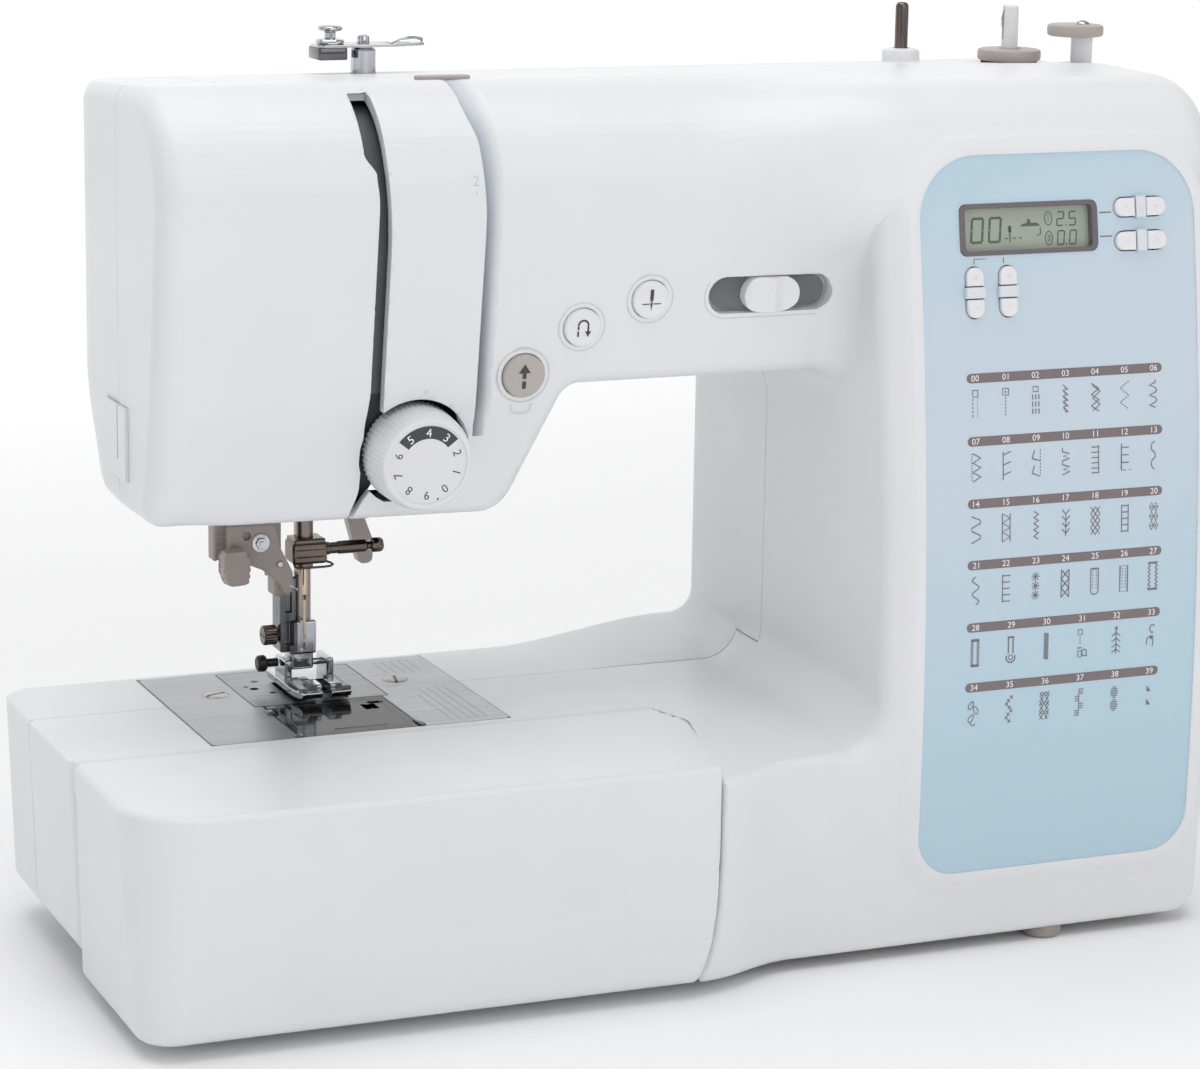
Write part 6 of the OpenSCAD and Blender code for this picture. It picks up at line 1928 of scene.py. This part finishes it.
# even spacing along the sides
Q = []
for i in range(len(P)):
    a, b = P[i], P[(i + 1) % len(P)]
    m = max(1, int(np.linalg.norm(b - a) / 6.0))
    Q += [a + (b - a) * j / m for j in range(m)]
Q = np.array(Q)
T = np.roll(Q, -1, 0) - np.roll(Q, 1, 0)
T /= np.linalg.norm(T, axis=1)[:, None]
N = np.c_[T[:, 1], -T[:, 0]]
if ((Q - Q.mean(0)) * N).sum() < 0:
    N = -N
prof = [(-0.25, 0.0), (-0.25, 0.35), (-0.1, 0.62), (0.25, 0.78), (1.2, 0.84), (2.4, 0.82), (3.6, 0.62), (4.6, 0.2), (5.0, -0.6)]
V, F = [], []
for d, h in prof:
    p = Q + N * d
    V.append(panel_place(p[:, 0], p[:, 1], h * 0.86))
n = len(Q)
for l in range(len(prof) - 1):
    for i in range(n):
        j = (i + 1) % n
        F.append((l * n + i, l * n + j, (l + 1) * n + j, (l + 1) * n + i))
solid("panel_rim", [(np.vstack(V), F)], M["shell"], "housing", (), "shell", angle=60)


# ------------------------------------------------------------------ table, light and view
def stage_floor():
    m = Mat("studio_floor")
    c = m.mix(m.noise(1.5, 2.0), lin((252, 252, 252)), lin((250, 250, 251)))
    m.link(c, m.b.inputs["Base Color"])
    m.link(m.range(m.noise(3.0), 0.3, 0.7, 0.8, 0.9), m.b.inputs["Roughness"])
    m.b.inputs["Specular IOR Level"].default_value = 0.15
    m.b.inputs["Emission Color"].default_value = (1, 1, 1, 1)
    # the sheet glows a little away from the machine, so the backdrop reads white; this glow is painted light, and in
    # front of the machine it also lifts the floor's shadow and lights the machine's front and base
    yy = m.xyz()[1]
    far = m.range(yy, 0.35, 1.8, 0.0, 0.42, True)
    near = m.range(yy, -0.12, -0.55, 0.0, 0.3, True)
    m.link(m.math("ADD", far, near), m.b.inputs["Emission Strength"])
    z = CAD_BOX[0].z
    # a swept sheet: flat under the machine, rising behind it
    prof = [(-3.2, 0.0), (2.2, 0.0)]
    for i in range(1, 13):
        a = math.pi / 2 * i / 12
        prof.append((2.2 + 0.8 * math.sin(a), 0.8 * (1 - math.cos(a))))
    prof.append((3.0, 4.0))
    V, F = [], []
    for i, (y, h) in enumerate(prof):
        V += [(-5.0, y, z + h), (5.0, y, z + h)]
        if i:
            k = 2 * i
            F.append((k - 2, k - 1, k + 1, k))
    me = bpy.data.meshes.new("studio_floor")
    me.from_pydata(V, [], F)
    me.polygons.foreach_set("use_smooth", [True] * len(F))
    me.materials.append(m.m)
    ob = bpy.data.objects.new("studio_floor", me)
    bpy.context.scene.collection.objects.link(ob)
    return ob


def area(name, at, to, w, h, power, col=(1, 1, 1)):
    li = bpy.data.lights.new(name, "AREA")
    li.shape = "RECTANGLE"
    li.size, li.size_y = w, h
    li.energy = power
    li.color = col
    ob = bpy.data.objects.new(name, li)
    bpy.context.scene.collection.objects.link(ob)
    a, b = Vector(at), Vector(to)
    ob.location = a
    ob.rotation_euler = (b - a).to_track_quat("-Z", "Y").to_euler()
    return ob


mid = Vector(((CAD_BOX[0].x + CAD_BOX[1].x) / 2, (CAD_BOX[0].y + CAD_BOX[1].y) / 2, (CAD_BOX[0].z + CAD_BOX[1].z) / 2))
floor = stage_floor()
stage = [floor,
         area("sky_panel", (-0.15, -0.05, 1.9), mid, 2.0, 1.6, 19.5),
         area("front_panel", (0.3, -2.1, 1.2), mid, 2.2, 1.5, 10.2),
         area("left_panel", (-2.0, -0.75, 0.8), mid, 1.4, 1.3, 2.2),
         area("right_panel", (2.0, -0.9, 0.7), mid, 1.2, 1.2, 2.2)]

world = bpy.data.worlds.new("studio")
world.use_nodes = True
bg = world.node_tree.nodes["Background"]
bg.inputs[0].default_value = (1, 1, 1, 1)
bg.inputs[1].default_value = 0.36
bpy.context.scene.world = world

# the photo's own view, found from the machine's straight edges
AZ, EL, ROLL = (math.radians(v) for v in (23.2168, 12.5094, 0.96087))
f = Vector((math.sin(AZ) * math.cos(EL), math.cos(AZ) * math.cos(EL), -math.sin(EL)))
r = Vector((math.cos(AZ), -math.sin(AZ), 0))
u = r.cross(f)
r2 = math.cos(ROLL) * r + math.sin(ROLL) * u
u2 = -math.sin(ROLL) * r + math.cos(ROLL) * u
cam = bpy.data.cameras.new("view")
cam.sensor_fit = "HORIZONTAL"
cam.sensor_width = 36.0
cam.lens = 3643.62 / 1200 * 36.0
cam.clip_start, cam.clip_end = 0.05, 30.0
cam.dof.use_dof = False
co = bpy.data.objects.new("view", cam)
bpy.context.scene.collection.objects.link(co)
R = Matrix((r2, u2, -f)).transposed().to_4x4()
co.matrix_world = Matrix.Translation(Vector(W((-395.70, -1166.38, 332.81)))) @ R
bpy.context.scene.camera = co
vs = bpy.context.scene.view_settings
vs.view_transform = "Standard"
vs.look = "None"
vs.exposure = 0.0
vs.gamma = 1.0
